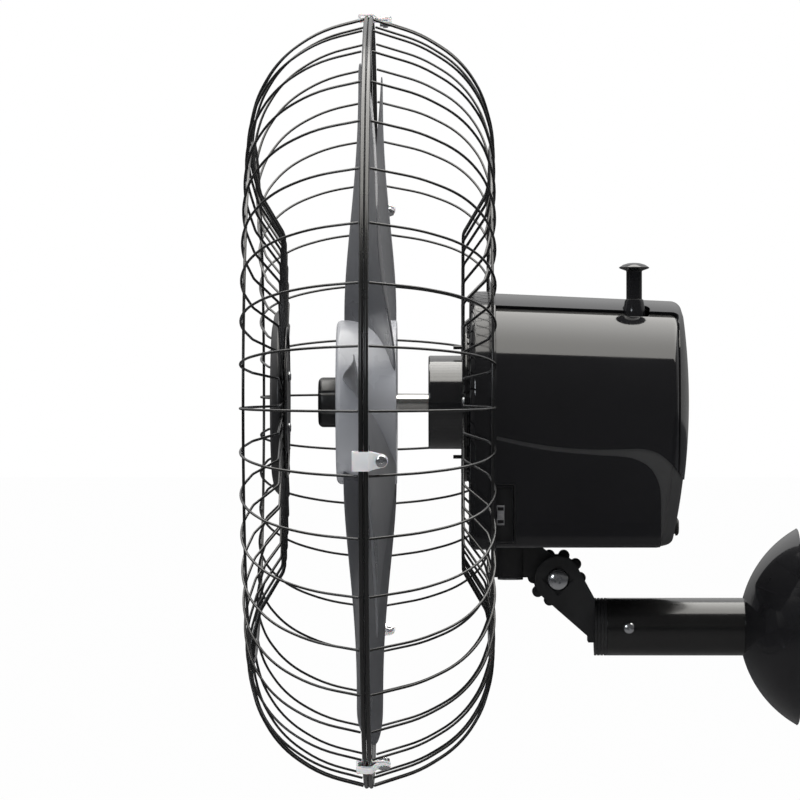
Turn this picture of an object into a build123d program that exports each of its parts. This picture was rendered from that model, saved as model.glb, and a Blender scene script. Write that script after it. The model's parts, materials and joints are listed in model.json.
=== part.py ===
from build123d import *
import os
from math import cos, pi, radians, sin, sqrt, tan

# A wall mounted oscillating fan, in millimetres.
# +Z is up and +Y points into the wall. The origin is on the wall plane, at the arm's axis.
# The fan blows towards -Y.

# ---- Clearances ----
RUNNING = 0.05        # radial clearance of a shaft or pin in its own bore
GAP = 0.3             # between pieces that move past each other
TOUCH = 0.05          # between round wires that are welded side by side

# ---- Wall plate, canopy and arm ----
PLATE_R = 60.0
PLATE_T = 4.0
PLATE_BOLT_CIRCLE = 90.0
PLATE_BOLTS = 4
PLATE_HOLE_R = 3.25
TUBE_R = 22.5
TUBE_WALL = 1.5
ARM_LENGTH = 149.2    # wall plane to the tube's open end
CANOPY_MOUTH_R = 77.0
CANOPY_DEPTH = 48.5
CANOPY_WALL = 2.2
PLUG_LENGTH = 30.0
ARM_SCREW_R = 2.2
ARM_SCREW_HEAD_R = 4.3
ARM_SCREW_HEAD_H = 2.2
ARM_SCREW_BACK = 17.0  # from the tube's open end
ARM_SCREW_LENGTH = 9.0

# ---- Tilt bracket at the arm's end ----
FLANGE_T = 9.4
TILT_AHEAD = 38.0     # pivot ahead of the tube's open end
TILT_Z = 37.3
CHEEK_R = 18.0
CHEEK_T = 4.5
CHEEK_INSIDE = 12.3   # half the gap between the cheeks
CHEEK_FOOT_LOW = -11.6
BRACKET_WEB = 5.0
TILT_BOLT_R = 4.0
TILT_HEAD_R = 8.6
TILT_HEAD_H = 3.6
TILT_POCKET = 17.4    # square pocket round the bolt's head
TILT_POCKET_DEEP = 2.4
TILT_WASHER_R = 13.0
TILT_WASHER_T = 1.3
LOCK_KNOB_R = 18.3
LOCK_LOBE_R = 4.4
LOCK_LOBES = 10
LOCK_KNOB_T = 13.0
LOCK_NUT_R = 7.0
LOCK_BOSS_R = 11.0
LOCK_BOSS_T = 3.0

# ---- Neck and oscillation pivot ----
PIVOT_AHEAD = 36.8    # oscillation axis ahead of the tilt axis
NECK_BOSS_R = 13.0
NECK_LOW = 38.7
NECK_ARM_T = 17.0
NECK_HUB_R = 15.0
PIVOT_PIN_R = 6.0
PIVOT_PIN_TOP = 112.0
BUSH_WALL = 2.2
LEVER_T = 3.3
LEVER_HUB_R = 12.0
LEVER_BOSS_R = 9.5
LINK_T = 3.0
LINK_END_R = 6.5
LINK_PIN_R = 2.5

# ---- Head housing ----
FAN_Z = 175.2         # height of the fan's axis
HEAD_LOW = 64.0
HEAD_R = 85.0         # the top of the head is round about the fan's axis
HEAD_LOW_R = 10.0
HEAD_AHEAD = 18.0     # front edge of the housing ahead of the oscillation axis
HEAD_LENGTH = 156.8
HEAD_BACK_PLAN_R = 290.0
HEAD_BACK_SIDE_R = 500.0
HEAD_TOP_DROP = 7.0   # the top falls this much from front to back
HEAD_BACK_EDGE_R = 8.0
HEAD_PLAN_EDGE_R = 4.0
HEAD_WALL = 2.5
TRIM_T = 1.3
# Edges of the grey sweep in side view: distance behind the housing's front edge, height above its foot
TRIM_UPPER = [(6.0, 85.6), (52.0, 77.2), (78.0, 75.4), (108.0, 75.6), (122.0, 75.0), (131.0, 71.6), (140.0, 64.0)]
TRIM_LOWER = [(6.0, 82.6), (52.0, 73.6), (82.0, 71.2), (106.0, 70.2), (118.0, 66.6), (127.5, 57.1), (131.0, 44.0),
              (131.3, 25.0), (130.4, 6.0)]
TRIM_END_HEIGHT = 30.0    # height of its upper edge past the back of the head
PAST = 20.0               # how far cutting shapes run past the surface they cut
SPINE_HALF = 42.5
SPINE_BACK_T = 11.2   # depth of the part that covers the back
SPINE_END_Z = 122.0
SEAM = 0.6
COVER_T = 14.0
COVER_PROUD = 1.6
COVER_EDGE_R = 5.0
COVER_WALL = 3.0
PAD_R = 62.0
PAD_T = 2.0
BASE_PLATE_T = 1.3
BASE_PLATE_WIDE = 60.0
BASE_PLATE_LONG = 46.0

# ---- Motor ----
SHAFT_R = 6.25
NOSE_R = 36.5
NOSE_LENGTH = 32.0
NOSE_WALL = 3.5
STATOR_R = 56.5
STATOR_BORE = 29.0
STATOR_BEHIND = 25.0  # behind the front edge of the housing
STATOR_LENGTH = 34.0
STATOR_SLOTS = 16
SLOT_R = 4.0
SLOT_CIRCLE = 38.0
ROTOR_GAP = 0.4
WINDING_OUT = 50.0
WINDING_IN = 33.0
WINDING_LENGTH = 13.0
BELL_WALL = 3.0
BELL_LENGTH = 19.0
BEARING_R = 11.0
BEARING_LENGTH = 8.0
MOTOR_BOLT_R = 2.5
MOTOR_BOLT_CIRCLE = 63.0
EAR_R = 6.5
CAPACITOR = (46.0, 30.0, 22.0)
TERMINALS = (36.0, 18.0, 12.0)
TERMINALS_X = -40.0
TERMINALS_BEHIND = 94.0   # behind the oscillation axis

# ---- Gearbox ----
WORM_R = 8.0          # pitch radius
GEAR_MODULE = 1.25
WHEEL_TEETH = 46
TOOTH_SHARE = 0.3     # tooth thickness over pitch, at the pitch line
TOOTH_UP = 1.25
TOOTH_DOWN = 1.5
FLANK_DEG = 14.5
WORM_TURNS = 6
WHEEL_T = 7.0
CASE_WALL = 2.4
CASE_HALF_HEIGHT = 14.0
CRANK_SHAFT_R = 4.0
CRANK_THROW = 14.5
CRANK_PIN_R = 3.0
CRANK_T = 4.0
OUTPUT_BACK = 95.1    # crank axis behind the oscillation axis

# ---- Pull knob, switch, gland ----
PULL_HEAD_R = 12.0
PULL_HEAD_T = 6.2
PULL_DOME = 3.4
PULL_STEM_R = 6.1
PULL_TOP = 283.0
PULL_TRAVEL = 8.0
COLLAR_R = 8.8
COLLAR_TOP_R = 6.9
COLLAR_UP = 3.0
COLLAR_TAPER = 9.0
COLLAR_SLOT = 3.5     # the collar's hole runs on this far behind it
SWITCH_LONG = 45.8    # recess, along Z
SWITCH_WIDE = 20.0    # recess, along Y
SWITCH_LOW = 67.4
SWITCH_DEEP = 6.0
SWITCH_WALL = 1.2
SLIDER_LONG = 7.0
SLIDER_WIDE = 5.0
SLIDER_TRAVEL = 5.0
GLAND_R = 5.6
GLAND_Z = 78.0

# ---- Fan ----
RIM_AHEAD = 92.0      # plane between the two rim rings, ahead of the housing
BLADES = 5
BLADE_FIRST_DEG = -89.0
BLADE_TIP_R = 267.0
BLADE_T = 3.0
HUB_R = 64.0
HUB_AHEAD = 25.4      # hub's front face ahead of the rim plane
HUB_LENGTH = 46.9
HUB_WALL = 3.0
HUB_EDGE_R = 4.0
HUB_BOSS_R = 13.0
HUB_RIBS = 6
DRIVE_PIN_R = 2.0
DRIVE_PIN_LONG = 22.0
KNOB_R = 19.5
KNOB_LENGTH = 14.5
KNOB_FLUTES = 8
BLADE_BEHIND = 0.5    # middle of the blades, behind the rim plane
# Blade sections: distance from the axis along the blade's middle, chord, pitch in degrees, camber
BLADE_SECTIONS = [
    (54.0, 80.0, 30.0, 5.0),
    (100.0, 114.0, 18.0, 7.0),
    (150.0, 151.0, 9.5, 6.0),
    (210.0, 198.0, 5.0, 4.5),
    (270.0, 246.0, 3.8, 3.5),
]

# ---- Guard ----
GUARD_R = 301.0
GUARD_WIRES = 40
FIRST_WIRE_DEG = -1.22
WIRE_R = 1.0
RIM_WIRE_R = 1.75
RIDGE_WIRE_R = 1.1
FRONT_FLAT = 66.7     # depth of the flat middle of the front half
FRONT_WIRE_END_R = 32.0
REAR_WIRE_END_R = 57.5
WIRE_START = 4.0      # depth of a wire's outer end, just past the rim ring
# Corners of a wire, from rim to middle: share of the way out from the flat to the rim,
# depth from the rim plane, bend radius
FRONT_CORNERS = [(0.938, 38, 95), (0.808, 70, 80), (0.639, 86, 75), (0.42, 95.6, 95), (0.183, 85, 15)]
REAR_CORNERS = [(0.921, 40, 95), (0.802, 72, 80), (0.642, 88, 75), (0.42, 99, 95), (0.183, 91, 15)]
FLAT_CORNER_R = 132.0
FLAT_BEND_R = 10.0
CENTRE_RING_R = 58.0
GUARD_PLATE_T = 2.0
GUARD_SCREW_CIRCLE = 50.0
GUARD_SCREWS = 4
STUD_CIRCLE = 44.0
STUD_R = 1.5
STUD_LENGTH = 8.6
BADGE_R = 73.0
BADGE_DEEP = 8.3
BADGE_WALL = 2.0
BADGE_BACK_R = 40.0
BADGE_BACK_T = 2.2
BADGE_SCREW_CIRCLE = 20.0
CLIP_DEGREES = [-8.1, 84.3, 147.3, 219.3, 292.8]
CLIP_WIDE = 14.0
CLIP_T = 1.6
CLIP_FRONT = 8.3
CLIP_BACK = 17.7
CLIP_STEP = (3.8, 7.4)    # where the outer leaf steps down towards the inner one
CLIP_PINCH = 0.5          # gap between the leaves at the screw
CLIP_END_R = 4.9
CLIP_SCREW_BACK = 12.8
CLIP_SCREW_R = 2.0
CLIP_HEAD_R = 4.6
CLIP_HEAD_H = 2.2
CLIP_NUT_R = 3.9
CLIP_NUT_H = 3.0

# ---- Places worked out from the sizes above ----
HEAD_TOP = FAN_Z + HEAD_R
TILT_Y = -ARM_LENGTH - TILT_AHEAD
PIVOT_Y = TILT_Y - PIVOT_AHEAD
OUTPUT_Y = PIVOT_Y + OUTPUT_BACK
HEAD_FRONT = PIVOT_Y - HEAD_AHEAD
HEAD_BACK = HEAD_FRONT + HEAD_LENGTH
STATOR_FRONT = HEAD_FRONT + STATOR_BEHIND
RIM_Y = HEAD_FRONT - RIM_AHEAD
HUB_FRONT = RIM_Y - HUB_AHEAD
HUB_BACK = HUB_FRONT + HUB_LENGTH
WHEEL_R = GEAR_MODULE * WHEEL_TEETH / 2
WHEEL_TIP_R = WHEEL_R + TOOTH_UP
OUTPUT_X = WORM_R + WHEEL_R          # axis shared by the wheel, crank and pull knob
LINK_X = OUTPUT_X - CRANK_THROW
COVER_FRONT = HEAD_FRONT - COVER_T
PAD_FRONT = COVER_FRONT - PAD_T
GUARD_PLATE_FRONT = PAD_FRONT - GUARD_PLATE_T
REAR_FLAT = GUARD_PLATE_FRONT - WIRE_R - TOUCH - RIM_Y
STATOR_BACK = STATOR_FRONT + STATOR_LENGTH
LEVER_LOW = HEAD_LOW + HEAD_WALL + GAP + 0.3
LEVER_TOP = LEVER_LOW + LEVER_T
LINK_LOW = LEVER_TOP + GAP
LINK_TOP = LINK_LOW + LINK_T
CRANK_LOW = LINK_TOP + GAP + 1.4
BLOCK_LOW = LINK_TOP + GAP + 0.7
FAN_AXIS = Axis((0, 0, FAN_Z), (0, -1, 0))
CENTRED = (Align.CENTER, Align.CENTER, Align.MIN)


def rod(radius, start, end):
    """A round bar between two points."""
    way = Vector(*end) - Vector(*start)
    return Plane(origin=start, z_dir=way).location * Cylinder(radius, way.length, align=CENTRED)


def pipe(outer, inner, start, end):
    """A round bar with a bore right through."""
    return rod(outer, start, end) - rod(inner, start, end)


def slab(x_span, y_span, z_span):
    """A block between pairs of limits."""
    middle = [(low + high) / 2 for low, high in (x_span, y_span, z_span)]
    size = [high - low for low, high in (x_span, y_span, z_span)]
    return Pos(*middle) * Box(*size)


def turned(outline, height=0.0):
    """A body of revolution about the Y direction; the outline is in (radius, Y)."""
    plane = Plane(origin=(0, 0, height), x_dir=(0, 0, 1), z_dir=(-1, 0, 0))
    face = plane * make_face(Polyline(*outline, close=True))
    return revolve(face, axis=Axis((0, 0, height), (0, 1, 0)))


def side_plate(outline, x_span):
    """A plate with its outline in (Y, Z), between two X limits."""
    plane = Plane(origin=(x_span[0], 0, 0), x_dir=(0, 1, 0), z_dir=(1, 0, 0))
    return extrude(plane * outline, amount=x_span[1] - x_span[0])


def flat_plate(outline, z_span):
    """A plate with its outline in (X, Y), between two Z limits."""
    return extrude(Plane.XY.offset(z_span[0]) * outline, amount=z_span[1] - z_span[0])


def round_wire(radius, wire_r, y):
    """A closed wire ring about the fan's axis."""
    section = Plane(origin=(radius, y, FAN_Z), z_dir=(0, 0, 1)) * Circle(wire_r)
    return revolve(section, axis=Axis((0, y, FAN_Z), (0, 1, 0)))


def around_fan(piece, angles):
    """Copies of a piece made at 0 degrees, turned about the fan's axis."""
    return [piece.rotate(FAN_AXIS, angle) for angle in angles]


def evenly(count, first=0.0):
    """Angles spaced evenly over a full turn."""
    return [first + 360.0 * index / count for index in range(count)]


def screw(seat, way, length, shank_r, head_r, head_h):
    """A screw whose head sits on a seat and whose shank goes along a direction."""
    seat, way = Vector(*seat), Vector(*way).normalized()
    head = rod(head_r, seat, seat - way * head_h)
    rim = head.edges().filter_by(GeomType.CIRCLE).sort_by_distance(seat - way * head_h)[0]
    head = fillet(rim, head_h * 0.45)
    return head + rod(shank_r, seat, seat + way * length)


def hexagon(seat, way, flats_r, height):
    """A hexagonal nut body that starts at a seat."""
    plane = Plane(origin=seat, z_dir=way)
    return extrude(plane * RegularPolygon(flats_r, 6, major_radius=False), amount=height)


def save(node, *pieces):
    """Write one node: its solids go to one STEP file."""
    solids = [solid for piece in pieces for solid in piece.solids()]
    export_step(Compound(solids), f"parts/{node}.step")


# ---- Wall end ----

def wall_plate():
    plate = rod(PLATE_R, (0, -PLATE_T, 0), (0, 0, 0))
    for angle in evenly(PLATE_BOLTS, 45.0):
        x = PLATE_BOLT_CIRCLE / 2 * cos(radians(angle))
        z = PLATE_BOLT_CIRCLE / 2 * sin(radians(angle))
        plate -= rod(PLATE_HOLE_R, (x, -PLATE_T, z), (x, 0, z))
    return plate


def canopy_dome():
    ball_r = (CANOPY_MOUTH_R ** 2 + CANOPY_DEPTH ** 2) / (2 * CANOPY_DEPTH)
    centre = (0, ball_r - CANOPY_DEPTH, 0)
    shell = Pos(*centre) * (Sphere(ball_r) - Sphere(ball_r - CANOPY_WALL))
    room = slab((-ball_r, ball_r), (-CANOPY_DEPTH, -GAP), (-ball_r, ball_r))
    return shell & room - rod(TUBE_R + GAP, (0, -CANOPY_DEPTH, 0), (0, 0, 0))


def arm_tube():
    tube = pipe(TUBE_R, TUBE_R - TUBE_WALL, (0, -ARM_LENGTH, 0), (0, -PLATE_T, 0))
    y = ARM_SCREW_BACK - ARM_LENGTH
    return tube - rod(ARM_SCREW_R + RUNNING, (-TUBE_R, y, 0), (TUBE_R, y, 0))


def arm_screws():
    y = ARM_SCREW_BACK - ARM_LENGTH
    return [screw((side * TUBE_R, y, 0), (-side, 0, 0), ARM_SCREW_LENGTH,
                  ARM_SCREW_R, ARM_SCREW_HEAD_R, ARM_SCREW_HEAD_H) for side in (1, -1)]


def cheek_outline():
    pivot = Pos(TILT_Y, TILT_Z) * Circle(CHEEK_R)
    foot = Line((-ARM_LENGTH - FLANGE_T, CHEEK_FOOT_LOW), (-ARM_LENGTH - FLANGE_T, TUBE_R))
    return make_hull([*pivot.edges(), *foot.edges()])


def tilt_bracket():
    """Plug in the tube, end flange and two cheeks, as one casting."""
    flange_front = -ARM_LENGTH - FLANGE_T
    body = rod(TUBE_R, (0, flange_front, 0), (0, -ARM_LENGTH, 0))
    body += rod(TUBE_R - TUBE_WALL - RUNNING, (0, -ARM_LENGTH, 0), (0, PLUG_LENGTH - ARM_LENGTH, 0))
    outer = CHEEK_INSIDE + CHEEK_T
    for span in ((CHEEK_INSIDE, outer), (-outer, -CHEEK_INSIDE)):
        body += side_plate(cheek_outline(), span)
    body += slab((-outer, outer), (flange_front - BRACKET_WEB, flange_front), (CHEEK_FOOT_LOW, 15.0))
    bolt_way = ((-outer - 1, TILT_Y, TILT_Z), (outer + 1, TILT_Y, TILT_Z))
    body -= rod(TILT_BOLT_R + RUNNING, *bolt_way)
    pocket = Rot(45, 0, 0) * Box(2 * TILT_POCKET_DEEP, TILT_POCKET, TILT_POCKET)
    body -= Pos(outer, TILT_Y, TILT_Z) * pocket
    y = ARM_SCREW_BACK - ARM_LENGTH
    return body - rod(ARM_SCREW_R + RUNNING, (-TUBE_R, y, 0), (TUBE_R, y, 0))


def tilt_bolt():
    seat = CHEEK_INSIDE + CHEEK_T - TILT_POCKET_DEEP
    length = seat + CHEEK_INSIDE + CHEEK_T + LOCK_BOSS_T + LOCK_KNOB_T * 0.7
    return screw((seat, TILT_Y, TILT_Z), (-1, 0, 0), length, TILT_BOLT_R, TILT_HEAD_R, TILT_HEAD_H)


def tilt_washers():
    inner = CHEEK_INSIDE - TILT_WASHER_T
    return [pipe(TILT_WASHER_R, TILT_BOLT_R + RUNNING, (side * inner, TILT_Y, TILT_Z),
                 (side * CHEEK_INSIDE, TILT_Y, TILT_Z)) for side in (1, -1)]


def lock_knob_seat():
    return -(CHEEK_INSIDE + CHEEK_T + GAP)


def tilt_lock_knob():
    """Lobed knob that clamps the cheeks."""
    start = lock_knob_seat()
    middle = start - LOCK_BOSS_T
    end = middle - LOCK_KNOB_T
    knob = rod(LOCK_BOSS_R, (start, TILT_Y, TILT_Z), (middle, TILT_Y, TILT_Z))
    knob += rod(LOCK_KNOB_R, (middle, TILT_Y, TILT_Z), (end, TILT_Y, TILT_Z))
    for angle in evenly(LOCK_LOBES):
        y = TILT_Y + LOCK_KNOB_R * cos(radians(angle))
        z = TILT_Z + LOCK_KNOB_R * sin(radians(angle))
        knob += rod(LOCK_LOBE_R, (middle, y, z), (end, y, z))
    return knob - rod(LOCK_NUT_R, (start, TILT_Y, TILT_Z), (end + CASE_WALL, TILT_Y, TILT_Z))


def lock_knob_nut():
    start = lock_knob_seat()
    end = start - LOCK_BOSS_T - LOCK_KNOB_T + CASE_WALL
    return pipe(LOCK_NUT_R, TILT_BOLT_R + RUNNING, (start, TILT_Y, TILT_Z), (end, TILT_Y, TILT_Z))


# ---- Neck and oscillation ----

def neck_casting():
    """Tongue on the tilt bolt, an arm forward and the vertical pivot boss."""
    half = CHEEK_INSIDE - TILT_WASHER_T - GAP
    top = HEAD_LOW - BASE_PLATE_T - 2 * GAP
    arm = make_face(Polyline(
        (PIVOT_Y, NECK_LOW), (PIVOT_Y + NECK_BOSS_R + 5, NECK_LOW),
        (TILT_Y - 9, TILT_Z - 12), (TILT_Y, TILT_Z - NECK_HUB_R),
        (TILT_Y, TILT_Z + NECK_HUB_R), (TILT_Y - 12, top), (PIVOT_Y, top), close=True))
    neck = side_plate(arm, (-NECK_ARM_T / 2, NECK_ARM_T / 2))
    neck += rod(NECK_HUB_R, (-half, TILT_Y, TILT_Z), (half, TILT_Y, TILT_Z))
    neck += rod(NECK_BOSS_R, (0, PIVOT_Y, NECK_LOW), (0, PIVOT_Y, LEVER_LOW))
    neck -= rod(TILT_BOLT_R + RUNNING, (-half, TILT_Y, TILT_Z), (half, TILT_Y, TILT_Z))
    return neck - rod(PIVOT_PIN_R + RUNNING, (0, PIVOT_Y, NECK_LOW), (0, PIVOT_Y, LEVER_LOW))


def pivot_pin():
    head = rod(NECK_BOSS_R - 3, (0, PIVOT_Y, NECK_LOW - 2), (0, PIVOT_Y, NECK_LOW))
    return head + rod(PIVOT_PIN_R, (0, PIVOT_Y, NECK_LOW), (0, PIVOT_Y, PIVOT_PIN_TOP))


def pivot_lever():
    """Lever fixed on the neck's boss; its end holds the link."""
    pad = Pos(LINK_X, PIVOT_Y) * Circle(LINK_END_R)
    hub = Pos(0, PIVOT_Y) * Circle(LEVER_HUB_R)
    lever = flat_plate(make_hull([*pad.edges(), *hub.edges()]), (LEVER_LOW, LEVER_TOP))
    lever += rod(LEVER_BOSS_R, (0, PIVOT_Y, LEVER_LOW), (0, PIVOT_Y, BLOCK_LOW - GAP))
    lever += rod(LINK_PIN_R, (LINK_X, PIVOT_Y, LEVER_TOP), (LINK_X, PIVOT_Y, LINK_TOP + GAP))
    return lever - rod(PIVOT_PIN_R + RUNNING, (0, PIVOT_Y, LEVER_LOW), (0, PIVOT_Y, BLOCK_LOW))


def oscillation_link():
    ends = [Pos(LINK_X, y) * Circle(LINK_END_R) for y in (PIVOT_Y, OUTPUT_Y)]
    bar = flat_plate(make_hull([edge for end in ends for edge in end.edges()]), (LINK_LOW, LINK_TOP))
    bar -= rod(LINK_PIN_R + RUNNING, (LINK_X, PIVOT_Y, LINK_LOW), (LINK_X, PIVOT_Y, LINK_TOP))
    return bar - rod(CRANK_PIN_R + RUNNING, (LINK_X, OUTPUT_Y, LINK_LOW), (LINK_X, OUTPUT_Y, LINK_TOP))


def crank_disc():
    """Disc on the output shaft; its pin stops just above the link's eye."""
    disc = rod(CRANK_THROW + CRANK_PIN_R + 2, (OUTPUT_X, OUTPUT_Y, CRANK_LOW),
               (OUTPUT_X, OUTPUT_Y, CRANK_LOW + CRANK_T))
    disc += rod(CRANK_PIN_R, (LINK_X, OUTPUT_Y, LINK_TOP + 2 * GAP), (LINK_X, OUTPUT_Y, CRANK_LOW))
    return disc - rod(CRANK_SHAFT_R, (OUTPUT_X, OUTPUT_Y, CRANK_LOW),
                      (OUTPUT_X, OUTPUT_Y, CRANK_LOW + CRANK_T))


def shaft_top():
    return FAN_Z + CASE_HALF_HEIGHT + 8


def crank_shaft():
    return rod(CRANK_SHAFT_R, (OUTPUT_X, OUTPUT_Y, CRANK_LOW), (OUTPUT_X, OUTPUT_Y, shaft_top()))


def pivot_block():
    """Casting under the motor that turns on the pivot pin."""
    block = slab((-17, 17), (PIVOT_Y - 15, PIVOT_Y + 13), (BLOCK_LOW, FAN_Z - STATOR_R + 6))
    block = fillet(block.edges().filter_by(Axis.Z), 4)
    block -= rod(STATOR_R + RUNNING, (0, PIVOT_Y - 20, FAN_Z), (0, PIVOT_Y + 20, FAN_Z))
    return block - rod(PIVOT_PIN_R + BUSH_WALL, (0, PIVOT_Y, BLOCK_LOW), (0, PIVOT_Y, FAN_Z))


def pivot_bush():
    top = PIVOT_PIN_TOP - 4
    return pipe(PIVOT_PIN_R + BUSH_WALL, PIVOT_PIN_R + RUNNING, (0, PIVOT_Y, BLOCK_LOW), (0, PIVOT_Y, top))


# ---- Motor ----

def bolt_places():
    return evenly(4, 45.0)


def motor_ears(y_start, y_end):
    """Four lugs that the through bolts pass."""
    lug = rod(EAR_R, (MOTOR_BOLT_CIRCLE, y_start, FAN_Z), (MOTOR_BOLT_CIRCLE, y_end, FAN_Z))
    bridge = slab((STATOR_R - BELL_WALL, MOTOR_BOLT_CIRCLE), sorted((y_start, y_end)),
                  (FAN_Z - EAR_R, FAN_Z + EAR_R))
    hole = rod(MOTOR_BOLT_R + RUNNING, (MOTOR_BOLT_CIRCLE, y_start, FAN_Z), (MOTOR_BOLT_CIRCLE, y_end, FAN_Z))
    return around_fan(lug + bridge - hole, bolt_places())


def end_bell(rim_y, closed_y):
    """A cup whose rim seats on the stator."""
    way = 1 if closed_y > rim_y else -1
    floor_y = closed_y - way * BELL_WALL
    hub_y = closed_y - way * (BEARING_LENGTH + BELL_WALL)
    bell = turned([(SHAFT_R + 1, closed_y), (STATOR_R, closed_y), (STATOR_R, rim_y),
                   (STATOR_R - BELL_WALL, rim_y), (STATOR_R - BELL_WALL, floor_y),
                   (BEARING_R + BELL_WALL, floor_y), (BEARING_R + BELL_WALL, hub_y),
                   (BEARING_R, hub_y), (BEARING_R, floor_y), (SHAFT_R + 1, floor_y)], FAN_Z)
    for ear in motor_ears(closed_y, closed_y - way * EAR_R):
        bell += ear
    return bell


def front_bell_y():
    return STATOR_FRONT - BELL_LENGTH


def rear_bell_y():
    return STATOR_BACK + BELL_LENGTH


def bearing(start_y):
    return pipe(BEARING_R, SHAFT_R + RUNNING, (0, start_y, FAN_Z), (0, start_y + BEARING_LENGTH, FAN_Z))


def stator_core():
    core = pipe(STATOR_R, STATOR_BORE, (0, STATOR_FRONT, FAN_Z), (0, STATOR_BACK, FAN_Z))
    slot = rod(SLOT_R, (SLOT_CIRCLE, STATOR_FRONT, FAN_Z), (SLOT_CIRCLE, STATOR_BACK, FAN_Z))
    for hole in around_fan(slot, evenly(STATOR_SLOTS)):
        core -= hole
    return core


def stator_windings():
    """End turns on both faces of the core, joined by the bars in the slots."""
    front = (STATOR_FRONT - WINDING_LENGTH, STATOR_FRONT)
    back = (STATOR_BACK, STATOR_BACK + WINDING_LENGTH)
    rings = [pipe(WINDING_OUT, WINDING_IN, (0, low, FAN_Z), (0, high, FAN_Z)) for low, high in (front, back)]
    bar = rod(SLOT_R - TOUCH, (SLOT_CIRCLE, STATOR_FRONT, FAN_Z), (SLOT_CIRCLE, STATOR_BACK, FAN_Z))
    coil = rings[0] + rings[1]
    for piece in around_fan(bar, evenly(STATOR_SLOTS)):
        coil += piece
    return coil


def rotor_core():
    return pipe(STATOR_BORE - ROTOR_GAP, SHAFT_R, (0, STATOR_FRONT - 1, FAN_Z), (0, STATOR_BACK + 1, FAN_Z))


def motor_bolts():
    front = COVER_FRONT + COVER_WALL + 5
    seat = rear_bell_y()
    bolt = screw((MOTOR_BOLT_CIRCLE, seat, FAN_Z), (0, -1, 0), seat - front, MOTOR_BOLT_R, 4.5, 3.0)
    return around_fan(bolt, bolt_places())


def motor_nose():
    """Round boss in front of the motor, with the front bearing inside."""
    front = COVER_FRONT - NOSE_LENGTH
    floor = front + NOSE_WALL
    return turned([(SHAFT_R + 1, front), (NOSE_R - 1, front), (NOSE_R, front + 1), (NOSE_R, COVER_FRONT),
                   (NOSE_R - NOSE_WALL, COVER_FRONT), (NOSE_R - NOSE_WALL, floor),
                   (BEARING_R + NOSE_WALL, floor), (BEARING_R + NOSE_WALL, floor + BEARING_LENGTH),
                   (BEARING_R, floor + BEARING_LENGTH), (BEARING_R, floor), (SHAFT_R + 1, floor)], FAN_Z)


def capacitor():
    x, y, z = CAPACITOR
    low = HEAD_LOW + HEAD_WALL
    return fillet(slab((-HEAD_R + 24, -HEAD_R + 24 + y),
                       (rear_bell_y() - x, rear_bell_y()), (low, low + z)).edges().filter_by(Axis.Z), 2)


def terminal_block():
    x, y, z = TERMINALS
    low = HEAD_LOW + HEAD_WALL
    start_x, start_y = TERMINALS_X, PIVOT_Y + TERMINALS_BEHIND
    block = slab((start_x, start_x + x), (start_y, start_y + y), (low, low + z))
    for share in (0.2, 0.5, 0.8):
        place = (start_x + share * x, start_y + y / 2)
        block -= rod(2, (*place, low + z / 2), (*place, low + z))
    return block


# ---- Gearbox ----

def motor_shaft():
    return rod(SHAFT_R, (0, HUB_FRONT - KNOB_LENGTH * 0.6, FAN_Z), (0, OUTPUT_Y + worm_half() + 2, FAN_Z)) \
        - rod(DRIVE_PIN_R, (-SHAFT_R, drive_pin_y(), FAN_Z), (SHAFT_R, drive_pin_y(), FAN_Z))


def worm_pitch():
    return pi * GEAR_MODULE


def worm_half():
    return worm_pitch() * (WORM_TURNS + 1) / 2


def tooth_half(distance):
    """Half the thickness of a tooth at a distance outside the pitch line."""
    return worm_pitch() * TOOTH_SHARE / 2 - distance * tan(radians(FLANK_DEG))


def worm():
    """Right-handed thread on a sleeve that is pressed on the shaft."""
    root, tip = WORM_R - TOOTH_DOWN, WORM_R + TOOTH_UP
    start = OUTPUT_Y - worm_pitch() * WORM_TURNS / 2
    path = Helix(worm_pitch(), worm_pitch() * WORM_TURNS, root)
    under = TOUCH
    section = Plane.XZ * make_face(Polyline(
        (root - under, -tooth_half(-TOOTH_DOWN)), (tip, -tooth_half(TOOTH_UP)),
        (tip, tooth_half(TOOTH_UP)), (root - under, tooth_half(-TOOTH_DOWN)), close=True))
    thread = sweep(section, path=path, is_frenet=True)
    place = Plane(origin=(0, start, FAN_Z), x_dir=(1, 0, 0), z_dir=(0, 1, 0)).location
    half = worm_half()
    sleeve = pipe(root, SHAFT_R, (0, OUTPUT_Y - half, FAN_Z), (0, OUTPUT_Y + half, FAN_Z))
    return sleeve + place * thread


def worm_wheel():
    """Wheel that the worm drives; it runs free on the crank shaft."""
    root = WHEEL_R - TOOTH_DOWN
    tooth = make_face(Polyline(
        (root - 0.5, -tooth_half(-TOOTH_DOWN)), (WHEEL_TIP_R, -tooth_half(TOOTH_UP)),
        (WHEEL_TIP_R, tooth_half(TOOTH_UP)), (root - 0.5, tooth_half(-TOOTH_DOWN)), close=True))
    outline = Circle(root)
    for angle in evenly(WHEEL_TEETH, 180.0 + 180.0 / WHEEL_TEETH):
        outline += Rot(0, 0, angle) * tooth
    outline -= Circle(CRANK_SHAFT_R + RUNNING)
    span = (FAN_Z - WHEEL_T / 2, FAN_Z + WHEEL_T / 2)
    return flat_plate(Pos(OUTPUT_X, OUTPUT_Y) * outline, span)


def case_outline(margin):
    """Plan of the gearbox: round the wheel, and square round the worm."""
    wheel_room = Pos(OUTPUT_X, OUTPUT_Y) * Circle(WHEEL_TIP_R + 0.6 + margin)
    half = worm_half() + 3 + margin
    worm_room = Pos(OUTPUT_X / 2 - 6, OUTPUT_Y) * Rectangle(OUTPUT_X + 12 + 2 * margin, 2 * half)
    return wheel_room + worm_room


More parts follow.
